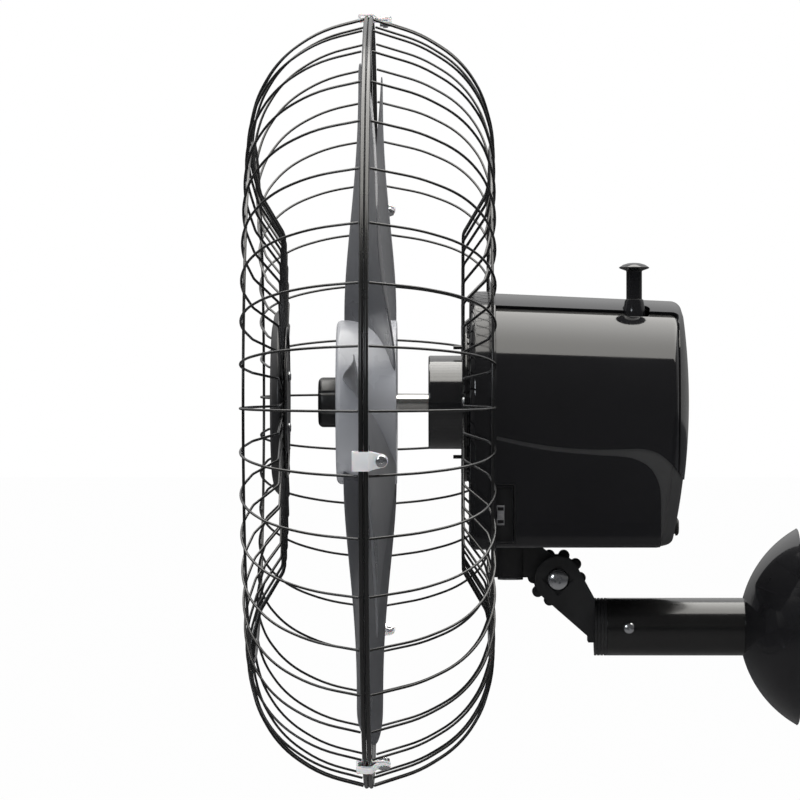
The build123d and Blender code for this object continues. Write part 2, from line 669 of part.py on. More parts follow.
def gearbox_case():
    low, high = FAN_Z - CASE_HALF_HEIGHT, FAN_Z + CASE_HALF_HEIGHT - CASE_WALL
    case = flat_plate(case_outline(CASE_WALL), (low, high))
    case -= flat_plate(case_outline(0), (low + CASE_WALL, high))
    case -= rod(SHAFT_R + 1, (0, OUTPUT_Y - 2 * worm_half(), FAN_Z), (0, OUTPUT_Y, FAN_Z))
    return case - rod(CRANK_SHAFT_R + RUNNING, (OUTPUT_X, OUTPUT_Y, low), (OUTPUT_X, OUTPUT_Y, high))


def gearbox_lid():
    high = FAN_Z + CASE_HALF_HEIGHT
    lid = flat_plate(case_outline(CASE_WALL), (high - CASE_WALL, high))
    return lid - rod(CRANK_SHAFT_R + RUNNING, (OUTPUT_X, OUTPUT_Y, high - CASE_WALL), (OUTPUT_X, OUTPUT_Y, high))


def gearbox_stay():
    """Plate between the rear end bell and the gearbox."""
    back = OUTPUT_Y - worm_half() - 3 - CASE_WALL
    stay = slab((-20, 20), (rear_bell_y(), back), (FAN_Z - CASE_HALF_HEIGHT, FAN_Z + CASE_HALF_HEIGHT))
    room = flat_plate(case_outline(CASE_WALL + TOUCH), (FAN_Z - 2 * CASE_HALF_HEIGHT, FAN_Z + 2 * CASE_HALF_HEIGHT))
    return stay - room - rod(SHAFT_R + 1, (0, rear_bell_y(), FAN_Z), (0, back, FAN_Z))


# ---- Housing ----

def head_section(inset, front, back):
    """The head's cross section carried along Y."""
    half, low, corner = HEAD_R - inset, HEAD_LOW + inset, max(HEAD_LOW_R - inset, 1)
    over = ThreePointArc((-half, FAN_Z), (0, FAN_Z + half), (half, FAN_Z))
    under = Polyline((half, FAN_Z), (half, low), (-half, low), (-half, FAN_Z))
    outline = make_face([over, under])
    outline = fillet(outline.vertices().group_by(Axis.Y)[0], corner)
    plane = Plane(origin=(0, front, 0), x_dir=(-1, 0, 0), z_dir=(0, 1, 0))
    return extrude(plane * outline, amount=back - front)


def back_fall(height):
    """How far the back leans in at a height."""
    return HEAD_BACK_SIDE_R - sqrt(HEAD_BACK_SIDE_R ** 2 - (height - FAN_Z) ** 2)


def head_form(inset):
    """The head without its front cover, drawn in by an inset; its back is rounded in plan and side view."""
    centre_y = HEAD_BACK - HEAD_BACK_PLAN_R
    reach = HEAD_BACK_PLAN_R - inset
    low, high = HEAD_LOW + inset - TOUCH, HEAD_TOP - HEAD_TOP_DROP - inset
    front = HEAD_FRONT - centre_y
    slope = HEAD_TOP_DROP / (reach - front)
    upper = Line((0, high + slope * reach), (reach - back_fall(high), high))
    rear = ThreePointArc((reach - back_fall(high), high), (reach, FAN_Z), (reach - back_fall(low), low))
    lower = Line((reach - back_fall(low), low), (0, low))
    shut = Line((0, low), (0, high + slope * reach))
    side = make_face([upper, rear, lower, shut])
    corners = side.vertices().sort_by(Axis.X)[-2:]
    side = fillet(corners, HEAD_BACK_EDGE_R - inset)
    plane = Plane(origin=(0, centre_y, 0), x_dir=(1, 0, 0), z_dir=(0, -1, 0))
    bulk = revolve(plane * side, axis=Axis((0, centre_y, 0), (0, 0, 1)))
    return bulk & head_section(inset, HEAD_FRONT, 0) & head_plan(inset)


def head_plan(inset):
    """Plan of the head with its back corners rounded, carried up past the top."""
    half, reach = HEAD_R - inset + TOUCH, HEAD_BACK_PLAN_R - inset + TOUCH
    centre_y = HEAD_BACK - HEAD_BACK_PLAN_R
    corner_y = centre_y + sqrt(reach ** 2 - half ** 2)
    back = ThreePointArc((half, corner_y), (0, centre_y + reach), (-half, corner_y))
    rest = Polyline((-half, corner_y), (-half, HEAD_FRONT - 5), (half, HEAD_FRONT - 5), (half, corner_y))
    outline = make_face([back, rest])
    corners = [vertex for vertex in outline.vertices() if abs(vertex.Y - corner_y) < TOUCH]
    return flat_plate(fillet(corners, HEAD_PLAN_EDGE_R - inset), (HEAD_LOW - 10, HEAD_TOP + 10))


def trim_outline():
    """The grey sweep in side view: thin at the front, turning down round the lower back."""
    upper, lower = ([(HEAD_FRONT + behind, HEAD_LOW + up) for behind, up in edge] for edge in (TRIM_UPPER, TRIM_LOWER))
    end = (HEAD_BACK + PAST, HEAD_LOW + TRIM_END_HEIGHT)
    foot = Polyline(lower[-1], (lower[-1][0], HEAD_LOW - PAST), (end[0], HEAD_LOW - PAST), end)
    return make_face([Spline(*upper, end), foot, Spline(*lower), Line(lower[0], upper[0])])


def spine_room(inset):
    """The strip over the top and the whole of the back above the grey sweep."""
    half, side, reach = SPINE_HALF - inset, HEAD_R + PAST, HEAD_TOP + PAST
    strip = slab((-half, half), (HEAD_FRONT, 0), (FAN_Z + 30, reach))
    return strip + slab((-side, side), (HEAD_BACK - SPINE_BACK_T + inset, 0), (SPINE_END_Z + inset, reach))


def collar_room(radius):
    """The slotted hole round the pull knob's collar."""
    slot = Pos(OUTPUT_X, OUTPUT_Y + COLLAR_SLOT / 2) * SlotCenterToCenter(COLLAR_SLOT, 2 * radius, rotation=90)
    return flat_plate(slot, (FAN_Z + 30, HEAD_TOP + PAST))


def switch_room(margin):
    """The recess for the slide switch, on the +X side."""
    y_start = HEAD_FRONT + 1
    return slab((HEAD_R - SWITCH_DEEP - SWITCH_WALL, HEAD_R + 5),
                (y_start - margin, y_start + SWITCH_WIDE + margin),
                (SWITCH_LOW - margin, SWITCH_LOW + SWITCH_LONG + margin))


def housing_parts():
    """Side housing, spine cover and grey trim, cut from one form."""
    outer, middle, inner = head_form(0), head_form(TRIM_T), head_form(HEAD_WALL)
    shell = outer - inner
    sweep_band = side_plate(trim_outline(), (-HEAD_R - 5, HEAD_R + 5))
    trim = (outer - middle) & sweep_band
    trim -= spine_room(0)
    spine = shell & spine_room(SEAM)
    housing = shell - spine_room(0) - trim
    spine -= collar_room(COLLAR_R)
    housing -= collar_room(COLLAR_R)
    housing -= rod(NECK_BOSS_R + 2 * GAP, (0, PIVOT_Y, 0), (0, PIVOT_Y, HEAD_LOW + 10))
    housing -= switch_room(0)
    gland = rod(GLAND_R, (0, HEAD_BACK - 40, GLAND_Z), (0, 0, GLAND_Z))
    return housing - gland, spine, trim - gland


def front_cover():
    """Cover that carries the guard and the motor."""
    cover = head_section(-COVER_PROUD, COVER_FRONT, HEAD_FRONT)
    front_rim = cover.faces().sort_by(Axis.Y)[0].edges()
    cover = fillet(front_rim, COVER_EDGE_R)
    cover -= head_section(COVER_WALL - COVER_PROUD, COVER_FRONT + COVER_WALL, HEAD_FRONT)
    cover += pipe(PAD_R, NOSE_R + GAP, (0, PAD_FRONT, FAN_Z), (0, COVER_FRONT, FAN_Z))
    boss = rod(EAR_R, (MOTOR_BOLT_CIRCLE, COVER_FRONT + 1, FAN_Z), (MOTOR_BOLT_CIRCLE, front_bell_y(), FAN_Z))
    for piece in around_fan(boss, bolt_places()):
        cover += piece
    bore = rod(MOTOR_BOLT_R + RUNNING, (MOTOR_BOLT_CIRCLE, COVER_FRONT + COVER_WALL + 5, FAN_Z),
               (MOTOR_BOLT_CIRCLE, front_bell_y(), FAN_Z))
    for hole in around_fan(bore, bolt_places()) + guard_screw_holes():
        cover -= hole
    return cover - rod(SHAFT_R + 6, (0, PAD_FRONT, FAN_Z), (0, HEAD_FRONT, FAN_Z))


def base_plate():
    """Thin plate under the head, round the neck's boss."""
    plate = slab((-BASE_PLATE_WIDE / 2, BASE_PLATE_WIDE / 2), (PIVOT_Y - 14, PIVOT_Y - 14 + BASE_PLATE_LONG),
                 (HEAD_LOW - BASE_PLATE_T, HEAD_LOW))
    return plate - rod(NECK_BOSS_R + 2 * GAP, (0, PIVOT_Y, 0), (0, PIVOT_Y, HEAD_LOW))


def pull_knob():
    """Knob that engages the oscillation; it is shown pulled up."""
    low = shaft_top() + PULL_TRAVEL + 2
    dome = make_face([ThreePointArc((0, PULL_TOP), (PULL_HEAD_R * 0.6, PULL_TOP - PULL_DOME * 0.35),
                                    (PULL_HEAD_R, PULL_TOP - PULL_DOME)),
                      Polyline((PULL_HEAD_R, PULL_TOP - PULL_DOME), (PULL_HEAD_R, PULL_TOP - PULL_DOME - 0.8),
                               (PULL_STEM_R, PULL_TOP - PULL_HEAD_T), (PULL_STEM_R, low), (0, low), (0, PULL_TOP))])
    plane = Plane(origin=(OUTPUT_X, OUTPUT_Y, 0), x_dir=(1, 0, 0), z_dir=(0, -1, 0))
    return revolve(plane * dome, axis=Axis((OUTPUT_X, OUTPUT_Y, 0), (0, 0, 1)))


def knob_collar():
    """Guide of the pull knob in the housing's shoulder."""
    top = collar_top()
    collar = rod(COLLAR_R - RUNNING, (OUTPUT_X, OUTPUT_Y, top - 22), (OUTPUT_X, OUTPUT_Y, top - COLLAR_TAPER))
    collar += Pos(OUTPUT_X, OUTPUT_Y, top - COLLAR_TAPER) * Cone(COLLAR_R - RUNNING, COLLAR_TOP_R, COLLAR_TAPER,
                                                                 align=CENTRED)
    return collar - rod(PULL_STEM_R + GAP, (OUTPUT_X, OUTPUT_Y, top - 22), (OUTPUT_X, OUTPUT_Y, top))


def collar_top():
    return FAN_Z + sqrt(HEAD_R ** 2 - OUTPUT_X ** 2) + COLLAR_UP


def switch_panel():
    room = switch_room(-TOUCH)
    outer_x = HEAD_R - 0.4
    tray = room & head_section(0.4, HEAD_FRONT, HEAD_FRONT + 2 * SWITCH_WIDE)
    y_start = HEAD_FRONT + 1 + SWITCH_WALL
    tray -= slab((HEAD_R - SWITCH_DEEP, outer_x), (y_start, y_start + SWITCH_WIDE - 2 * SWITCH_WALL),
                 (SWITCH_LOW + SWITCH_WALL, SWITCH_LOW + SWITCH_LONG - SWITCH_WALL))
    y, z = slider_place()
    long = SLIDER_LONG + 2 * SLIDER_TRAVEL
    return tray - slab((0, outer_x), (y - SLIDER_WIDE / 2 - GAP, y + SLIDER_WIDE / 2 + GAP),
                       (z - long / 2 - GAP, z + long / 2 + GAP))


def slider_place():
    return HEAD_FRONT + 1 + SWITCH_WIDE * 0.42, SWITCH_LOW + SWITCH_LONG * 0.47


def switch_body():
    """Case of the slide switch, behind the panel."""
    y, z = slider_place()
    x = HEAD_R - SWITCH_DEEP - SWITCH_WALL
    return slab((x - 9, x), (y - 7, y + 7), (z - 14, z + 14))


def switch_slider():
    y, z = slider_place()
    x = HEAD_R - SWITCH_DEEP - SWITCH_WALL
    nub = slab((x + GAP, HEAD_R - 2.5), (y - SLIDER_WIDE / 2, y + SLIDER_WIDE / 2),
               (z - SLIDER_LONG / 2, z + SLIDER_LONG / 2))
    return nub - rod(0.9, (HEAD_R - 3.3, y - SLIDER_WIDE, z), (HEAD_R - 3.3, y + SLIDER_WIDE, z))


def cable_gland():
    return rod(GLAND_R - TOUCH, (0, HEAD_BACK - 18, GLAND_Z), (0, HEAD_BACK - 6, GLAND_Z)) \
        - rod(GLAND_R - 2, (0, HEAD_BACK - 18, GLAND_Z), (0, HEAD_BACK - 6, GLAND_Z))


# ---- Fan ----

def blade_section(out, chord, pitch, camber):
    """A cambered section with blunt edges, square to the blade's middle line."""
    half, thin = chord / 2, BLADE_T / 4
    front = ThreePointArc((-half, thin), (0, BLADE_T / 2 - camber), (half, thin))
    back = ThreePointArc((half, -thin), (0, -BLADE_T / 2 - camber), (-half, -thin))
    nose = Line((half, thin), (half, -thin))
    tail = Line((-half, -thin), (-half, thin))
    face = make_face([front, nose, back, tail])
    plane = Plane(origin=(out, RIM_Y + BLADE_BEHIND, FAN_Z), x_dir=(0, 0, 1), z_dir=(1, 0, 0))
    return plane * Rot(0, 0, pitch) * face


def fan_blade():
    """Hub and blades, one moulding."""
    inner = HUB_R - HUB_WALL
    hub = turned([(0, HUB_FRONT), (HUB_R - HUB_EDGE_R, HUB_FRONT), (HUB_R - 1.2, HUB_FRONT + 1.2),
                  (HUB_R, HUB_FRONT + HUB_EDGE_R), (HUB_R, HUB_BACK), (inner, HUB_BACK),
                  (inner, HUB_FRONT + HUB_WALL), (0, HUB_FRONT + HUB_WALL)], FAN_Z)
    hub += rod(HUB_BOSS_R, (0, HUB_FRONT, FAN_Z), (0, HUB_BACK, FAN_Z))
    rib = slab((HUB_BOSS_R - 1, inner + 1), (HUB_FRONT + 1, HUB_BACK - 8), (FAN_Z - 1, FAN_Z + 1))
    for piece in around_fan(rib, evenly(HUB_RIBS, 15.0)):
        hub += piece
    blade = loft([blade_section(*values) for values in BLADE_SECTIONS])
    blade &= rod(BLADE_TIP_R, (0, RIM_Y - 60, FAN_Z), (0, RIM_Y + 60, FAN_Z))
    blade -= rod(inner + 1, (0, RIM_Y - 60, FAN_Z), (0, RIM_Y + 60, FAN_Z))
    for piece in around_fan(blade, evenly(BLADES, BLADE_FIRST_DEG)):
        hub += piece
    y = drive_pin_y()
    hub -= slab((-DRIVE_PIN_LONG / 2 - 1, DRIVE_PIN_LONG / 2 + 1), (y - DRIVE_PIN_R - TOUCH, HUB_BACK),
                (FAN_Z - DRIVE_PIN_R - TOUCH, FAN_Z + DRIVE_PIN_R + TOUCH))
    return hub - rod(SHAFT_R + RUNNING, (0, HUB_FRONT, FAN_Z), (0, HUB_BACK, FAN_Z))


def drive_pin_y():
    return HUB_BACK - 4


def drive_pin():
    return rod(DRIVE_PIN_R - 0.01, (-DRIVE_PIN_LONG / 2, drive_pin_y(), FAN_Z),
               (DRIVE_PIN_LONG / 2, drive_pin_y(), FAN_Z))


def fixing_knob():
    """Knob that holds the blade moulding on the shaft."""
    front = HUB_FRONT - KNOB_LENGTH
    knob = turned([(0, front), (KNOB_R - 4, front), (KNOB_R - 1.2, front + 1.2), (KNOB_R, front + 4),
                   (KNOB_R, HUB_FRONT), (0, HUB_FRONT)], FAN_Z)
    flute = rod(1.6, (KNOB_R + 0.6, front, FAN_Z), (KNOB_R + 0.6, HUB_FRONT, FAN_Z))
    for groove in around_fan(flute, evenly(KNOB_FLUTES, 22.5)):
        knob -= groove
    return knob - rod(SHAFT_R + TOUCH, (0, HUB_FRONT - KNOB_LENGTH * 0.6, FAN_Z), (0, HUB_FRONT, FAN_Z))


# ---- Guard ----

def wire_path(side, corners, flat, end_r):
    """Centre line of a guard wire at 0 degrees; side is -1 in front of the rim plane and 1 behind it."""
    out = GUARD_R - FLAT_CORNER_R
    bends = [(FLAT_CORNER_R + share * out, depth, bend) for share, depth, bend in corners]
    bends.append((FLAT_CORNER_R, flat, FLAT_BEND_R))
    points = [(GUARD_R - RIM_WIRE_R, WIRE_START)] + [(radius, depth) for radius, depth, bend in bends] + [(end_r, flat)]
    places = [(radius, RIM_Y + side * depth, FAN_Z) for radius, depth in points]
    return FilletPolyline(*places, radius=[bend for radius, depth, bend in bends])


def guard_wires(path):
    section = Plane(origin=path @ 0, z_dir=path % 0) * Circle(WIRE_R)
    wire = sweep(section, path=path)
    return around_fan(wire, evenly(GUARD_WIRES, FIRST_WIRE_DEG))


def rim_ring(side):
    return round_wire(GUARD_R - RIM_WIRE_R, RIM_WIRE_R, RIM_Y + side * (RIM_WIRE_R + TOUCH))


def ridge_ring(path, side):
    """Ring welded inside the wires where they stand furthest from the rim plane."""
    peak = max((path @ (step / 400) for step in range(401)), key=lambda point: side * point.Y)
    inward = WIRE_R + RIDGE_WIRE_R + TOUCH
    return round_wire(peak.X, RIDGE_WIRE_R, peak.Y - side * inward)


def centre_ring():
    y = RIM_Y - FRONT_FLAT + WIRE_R + RIDGE_WIRE_R + TOUCH
    return round_wire(CENTRE_RING_R, RIDGE_WIRE_R, y)


def front_badge():
    """Plain shallow cap in the middle of the front guard."""
    back = RIM_Y - FRONT_FLAT - WIRE_R - TOUCH
    front = back - BADGE_DEEP
    badge = turned([(0, front), (BADGE_R - 14, front), (BADGE_R - 4, front + 2.2), (BADGE_R, front + 6),
                    (BADGE_R, back), (BADGE_R - BADGE_WALL, back), (BADGE_R - BADGE_WALL, front + 6.6),
                    (BADGE_R - 6, front + 4), (BADGE_R - 15, front + BADGE_WALL), (0, front + BADGE_WALL)], FAN_Z)
    for angle in evenly(2, 90.0):
        boss = rod(4.5, (BADGE_SCREW_CIRCLE, front + 1, FAN_Z), (BADGE_SCREW_CIRCLE, back, FAN_Z))
        bore = rod(1.5, (BADGE_SCREW_CIRCLE, front + 4, FAN_Z), (BADGE_SCREW_CIRCLE, back, FAN_Z))
        badge += boss.rotate(FAN_AXIS, angle)
        badge -= bore.rotate(FAN_AXIS, angle)
    return badge


def badge_back_y():
    return RIM_Y - FRONT_FLAT + WIRE_R + TOUCH


def badge_back():
    """Disc that clamps the wires' inner ends to the cap."""
    start = badge_back_y()
    disc = rod(BADGE_BACK_R, (0, start, FAN_Z), (0, start + BADGE_BACK_T, FAN_Z))
    hole = rod(1.5, (BADGE_SCREW_CIRCLE, start, FAN_Z), (BADGE_SCREW_CIRCLE, start + BADGE_BACK_T, FAN_Z))
    for bore in around_fan(hole, evenly(2, 90.0)):
        disc -= bore
    return disc


def badge_screws():
    seat = badge_back_y() + BADGE_BACK_T
    return around_fan(screw((BADGE_SCREW_CIRCLE, seat, FAN_Z), (0, -1, 0), 7.5, 1.45, 3.2, 1.8), evenly(2, 90.0))


def guard_screw_holes():
    hole = rod(2 + RUNNING, (GUARD_SCREW_CIRCLE, GUARD_PLATE_FRONT, FAN_Z),
               (GUARD_SCREW_CIRCLE, COVER_FRONT + COVER_WALL, FAN_Z))
    return around_fan(hole, evenly(GUARD_SCREWS, 90.0))


def guard_screws():
    length = COVER_FRONT + COVER_WALL - GUARD_PLATE_FRONT - 0.5
    piece = screw((GUARD_SCREW_CIRCLE, GUARD_PLATE_FRONT, FAN_Z), (0, 1, 0), length, 2, 4, 2.4)
    return around_fan(piece, evenly(GUARD_SCREWS, 90.0))


def guard_plate():
    """Plate of the rear guard half, with two locating studs."""
    plate = pipe(PAD_R, NOSE_R + GAP, (0, GUARD_PLATE_FRONT, FAN_Z), (0, PAD_FRONT, FAN_Z))
    stud = rod(STUD_R, (STUD_CIRCLE, GUARD_PLATE_FRONT - STUD_LENGTH, FAN_Z), (STUD_CIRCLE, PAD_FRONT, FAN_Z))
    for piece in around_fan(stud, evenly(2, 76.0)):
        plate += piece
    for hole in guard_screw_holes():
        plate -= hole
    return plate


def clip_levels():
    """Radii of the clip's inner leaf and outer leaf, at their inner faces."""
    inside = sqrt((GUARD_R - 2 * RIM_WIRE_R) ** 2 - (CLIP_WIDE / 2) ** 2)
    return inside - TOUCH - CLIP_T, GUARD_R + TOUCH


def pad_level():
    """Radius of the outer leaf's inner face at the screw."""
    return clip_levels()[0] + CLIP_T + CLIP_PINCH


def guard_clip():
    """Strap folded over both rim rings, pinched together behind them by a screw."""
    inner, outer = clip_levels()
    pad = pad_level()
    front, back = RIM_Y - CLIP_FRONT, RIM_Y + CLIP_BACK
    start, end = (RIM_Y + step for step in CLIP_STEP)
    outline = make_face(Polyline(
        (outer + CLIP_T, start), (outer + CLIP_T, front), (inner, front), (inner, back),
        (inner + CLIP_T, back), (inner + CLIP_T, front + CLIP_T), (outer, front + CLIP_T), (outer, start),
        (pad, end), (pad, back), (pad + CLIP_T, back), (pad + CLIP_T, end), close=True))
    outline = fillet(outline.vertices().filter_by(lambda v: abs(v.Y - front) < 0.01), 1.3)
    strap = extrude(Plane.XY.offset(FAN_Z - CLIP_WIDE / 2) * outline, amount=CLIP_WIDE)
    y = RIM_Y + CLIP_SCREW_BACK
    shape = make_hull([*(Pos(y, FAN_Z) * Circle(CLIP_END_R)).edges(),
                       *Line((start, FAN_Z - CLIP_WIDE / 2), (start, FAN_Z + CLIP_WIDE / 2)).edges()])
    body = Pos((front + start) / 2, FAN_Z) * Rectangle(start - front, CLIP_WIDE)
    strap &= side_plate(shape + body, (inner, outer + CLIP_T))
    return strap - rod(CLIP_SCREW_R + RUNNING, (inner - 1, y, FAN_Z), (outer + CLIP_T + 1, y, FAN_Z))


def clip_screw():
    seat, y = pad_level() + CLIP_T, RIM_Y + CLIP_SCREW_BACK
    length = seat - clip_levels()[0] + CLIP_NUT_H + 1
    return screw((seat, y, FAN_Z), (-1, 0, 0), length, CLIP_SCREW_R, CLIP_HEAD_R, CLIP_HEAD_H)


def clip_nut():
    inner, y = clip_levels()[0], RIM_Y + CLIP_SCREW_BACK
    nut = hexagon((inner, y, FAN_Z), (-1, 0, 0), CLIP_NUT_R, CLIP_NUT_H)
    return nut - rod(CLIP_SCREW_R + RUNNING, (inner, y, FAN_Z), (inner - CLIP_NUT_H, y, FAN_Z))


def write_wall_end():
    save("wall_plate", wall_plate())
    save("canopy_dome", canopy_dome())
    save("arm_tube", arm_tube())
    save("arm_screws", *arm_screws())
    save("tilt_bracket", tilt_bracket())
    save("tilt_bolt", tilt_bolt())
    save("tilt_washers", *tilt_washers())
    save("tilt_lock_knob", tilt_lock_knob())
    save("lock_knob_nut", lock_knob_nut())


def write_oscillation():
    save("neck_casting", neck_casting())
    save("pivot_pin", pivot_pin())
    save("pivot_lever", pivot_lever())
    save("oscillation_link", oscillation_link())
    save("crank_disc", crank_disc())
    save("crank_shaft", crank_shaft())
    save("pivot_block", pivot_block())
    save("pivot_bush", pivot_bush())


def write_motor():
    save("motor_nose", motor_nose())
    save("front_end_bell", end_bell(STATOR_FRONT, front_bell_y()))
    save("rear_end_bell", end_bell(STATOR_BACK, rear_bell_y()))
    save("shaft_bearings", bearing(COVER_FRONT - NOSE_LENGTH + NOSE_WALL),
         bearing(rear_bell_y() - BELL_WALL - BEARING_LENGTH))
    save("stator_core", stator_core())
    save("stator_windings", stator_windings())
    save("rotor_core", rotor_core())
    save("motor_bolts", *motor_bolts())
    save("capacitor", capacitor())
    save("terminal_block", terminal_block())
    save("motor_shaft", motor_shaft())
    save("worm", worm())
    save("worm_wheel", worm_wheel())
    save("gearbox_case", gearbox_case())
    save("gearbox_lid", gearbox_lid())
    save("gearbox_stay", gearbox_stay())


def write_head():
    housing, spine, trim = housing_parts()
    save("side_housing", housing)
    save("spine_cover", spine)
    save("swept_trim", trim)
    save("front_cover", front_cover())
    save("base_plate", base_plate())
    save("pull_knob", pull_knob())
    save("knob_collar", knob_collar())
    save("switch_panel", switch_panel())
    save("switch_body", switch_body())
    save("switch_slider", switch_slider())
    save("cable_gland", cable_gland())


def write_fan():
    save("fan_blade", fan_blade())
    save("drive_pin", drive_pin())
    save("fixing_knob", fixing_knob())


def write_guard():
    front = wire_path(-1, FRONT_CORNERS, FRONT_FLAT, FRONT_WIRE_END_R)
    rear = wire_path(1, REAR_CORNERS, REAR_FLAT, REAR_WIRE_END_R)
    save("front_guard_wires", *guard_wires(front))
    save("rear_guard_wires", *guard_wires(rear))
    save("front_rim_ring", rim_ring(-1))
    save("rear_rim_ring", rim_ring(1))
    save("front_mid_rings", ridge_ring(front, -1), centre_ring())
    save("rear_mid_ring", ridge_ring(rear, 1))
    save("front_badge", front_badge())
    save("badge_back", badge_back())
    save("guard_plate", guard_plate())
    save("guard_screws", *guard_screws(), *badge_screws())
    save("guard_clips", *around_fan(guard_clip(), CLIP_DEGREES))
    save("clip_screws", *around_fan(clip_screw(), CLIP_DEGREES))
    save("clip_nuts", *around_fan(clip_nut(), CLIP_DEGREES))


os.makedirs("parts", exist_ok=True)
write_wall_end()
write_oscillation()
write_motor()
write_head()
write_fan()
write_guard()
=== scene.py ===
import json
from math import acos, asin, atan2, ceil, cos, pi, radians, sin, sqrt, tan

import bmesh
import bpy
from bpy.props import FloatProperty, FloatVectorProperty, IntProperty, PointerProperty
from mathutils import Matrix, Vector
from mathutils.bvhtree import BVHTree


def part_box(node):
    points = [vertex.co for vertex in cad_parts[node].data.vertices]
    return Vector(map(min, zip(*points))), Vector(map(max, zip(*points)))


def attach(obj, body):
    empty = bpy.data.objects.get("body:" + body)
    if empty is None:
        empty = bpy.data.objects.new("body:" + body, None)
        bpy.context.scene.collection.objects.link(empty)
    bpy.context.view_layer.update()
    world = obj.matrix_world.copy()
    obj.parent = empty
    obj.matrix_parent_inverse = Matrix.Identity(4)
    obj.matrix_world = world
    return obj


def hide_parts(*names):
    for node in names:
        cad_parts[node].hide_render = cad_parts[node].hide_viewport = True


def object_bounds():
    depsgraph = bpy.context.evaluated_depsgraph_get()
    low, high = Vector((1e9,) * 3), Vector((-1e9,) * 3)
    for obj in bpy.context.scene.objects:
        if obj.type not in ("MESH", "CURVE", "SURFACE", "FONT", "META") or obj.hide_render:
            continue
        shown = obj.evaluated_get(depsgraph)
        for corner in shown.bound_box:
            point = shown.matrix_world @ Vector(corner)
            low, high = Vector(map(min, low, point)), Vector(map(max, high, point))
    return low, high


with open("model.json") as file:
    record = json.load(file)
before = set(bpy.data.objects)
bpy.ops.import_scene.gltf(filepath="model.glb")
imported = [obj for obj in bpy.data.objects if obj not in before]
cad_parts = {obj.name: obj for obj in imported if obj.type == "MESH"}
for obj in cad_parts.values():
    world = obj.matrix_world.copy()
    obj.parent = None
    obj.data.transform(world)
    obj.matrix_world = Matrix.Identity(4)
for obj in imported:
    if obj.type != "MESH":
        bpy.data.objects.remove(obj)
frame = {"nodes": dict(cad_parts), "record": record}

bl_info = {
    "name": "Wall fan dressing",
    "version": (1, 0, 0),
    "blender": (4, 5, 0),
    "location": "View3D > Sidebar > Wall fan",
    "description": "Builds the visible pieces of a wall mounted oscillating fan round its solid model",
    "category": "Object",
}

MM = 0.001
CAD_BOX = [list(corner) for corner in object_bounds()]


# ---- Places read from the solid model ----

def middle(node):
    low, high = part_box(node)
    return (low + high) / 2


def span(node, axis):
    """Lowest and highest coordinate of a node along X, Y or Z."""
    low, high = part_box(node)
    return low["XYZ".index(axis)], high["XYZ".index(axis)]


FAN_Z = middle("motor_shaft").z
FAN_CENTRE = (0, 0, FAN_Z)
RIM_Y = (span("front_rim_ring", "Y")[1] + span("rear_rim_ring", "Y")[0]) / 2
HUB_FRONT = span("fan_blade", "Y")[0]
TUBE_R = span("arm_tube", "X")[1]
COVER_BACK = span("side_housing", "Y")[0]
HEAD_LOW = span("side_housing", "Z")[0]
HEAD_BACK = span("spine_cover", "Y")[1]
TILT = middle("tilt_washers")
KNOB_AXIS = middle("pull_knob")


# ---- Outlines and meshes ----

def rounded(corners, closed=False, steps=6):
    """A polyline through (x, y, bend radius) corners, with its corners turned into arcs."""
    points, count = [], len(corners)
    for index, (x, y, bend) in enumerate(corners):
        here = Vector((x, y))
        if bend <= 0 or (not closed and index in (0, count - 1)):
            points.append(here)
            continue
        before = (Vector(corners[index - 1][:2]) - here).normalized()
        after = (Vector(corners[(index + 1) % count][:2]) - here).normalized()
        half = before.angle(after) / 2
        if half > pi / 2 - 0.001:
            points.append(here)
            continue
        reach = bend / tan(half)
        centre = here + (before + after).normalized() * (bend / sin(half))
        start, end = here + before * reach - centre, here + after * reach - centre
        turn = atan2(start.x * end.y - start.y * end.x, start.dot(end))
        count_here = max(2, ceil(abs(turn) / (pi / 2) * steps))
        for step_index in range(count_here + 1):
            angle = turn * step_index / count_here
            points.append(centre + Matrix.Rotation(angle, 2) @ start)
    return [(point.x, point.y) for point in points]


def circle(radius, centre=(0.0, 0.0), steps=64, first=0.0):
    return [(centre[0] + radius * cos(first + 2 * pi * i / steps),
             centre[1] + radius * sin(first + 2 * pi * i / steps)) for i in range(steps)]


def box_line(y0, y1, z0, z1, bend=0.0):
    """A rectangle's outline with rounded corners."""
    return rounded([(y0, z0, bend), (y1, z0, bend), (y1, z1, bend), (y0, z1, bend)], closed=True)


def skin(rows, closed_rows=True, closed_ends=False):
    """Faces between rows of points that all have the same length."""
    verts = [Vector(point) for row in rows for point in row]
    wide, faces = len(rows[0]), []
    row_pairs = len(rows) if closed_ends else len(rows) - 1
    for row in range(row_pairs):
        below, above = row * wide, ((row + 1) % len(rows)) * wide
        for i in range(wide if closed_rows else wide - 1):
            j = (i + 1) % wide
            faces.append((below + i, below + j, above + j, above + i))
    return verts, faces


def lathe(profile, centre=(0, 0, 0), axis="Y", steps=96):
    """A closed body of revolution; the profile is a closed loop of (radius, distance along the axis)."""
    rows = []
    for index in range(steps):
        angle = 2 * pi * index / steps
        across, up = cos(angle), sin(angle)
        row = []
        for radius, along in profile:
            a, b = radius * across, radius * up
            offset = {"X": (along, a, b), "Y": (a, along, b), "Z": (a, b, along)}[axis]
            row.append(Vector(centre) + Vector(offset))
        rows.append(row)
    return skin(rows, closed_ends=True)


def rod(radius, first, last, centre=(0, 0, 0), axis="Y", steps=24):
    """A round bar along an axis, between two coordinates on it."""
    return lathe([(0, first), (radius, first), (radius, last), (0, last)], centre, axis, steps)


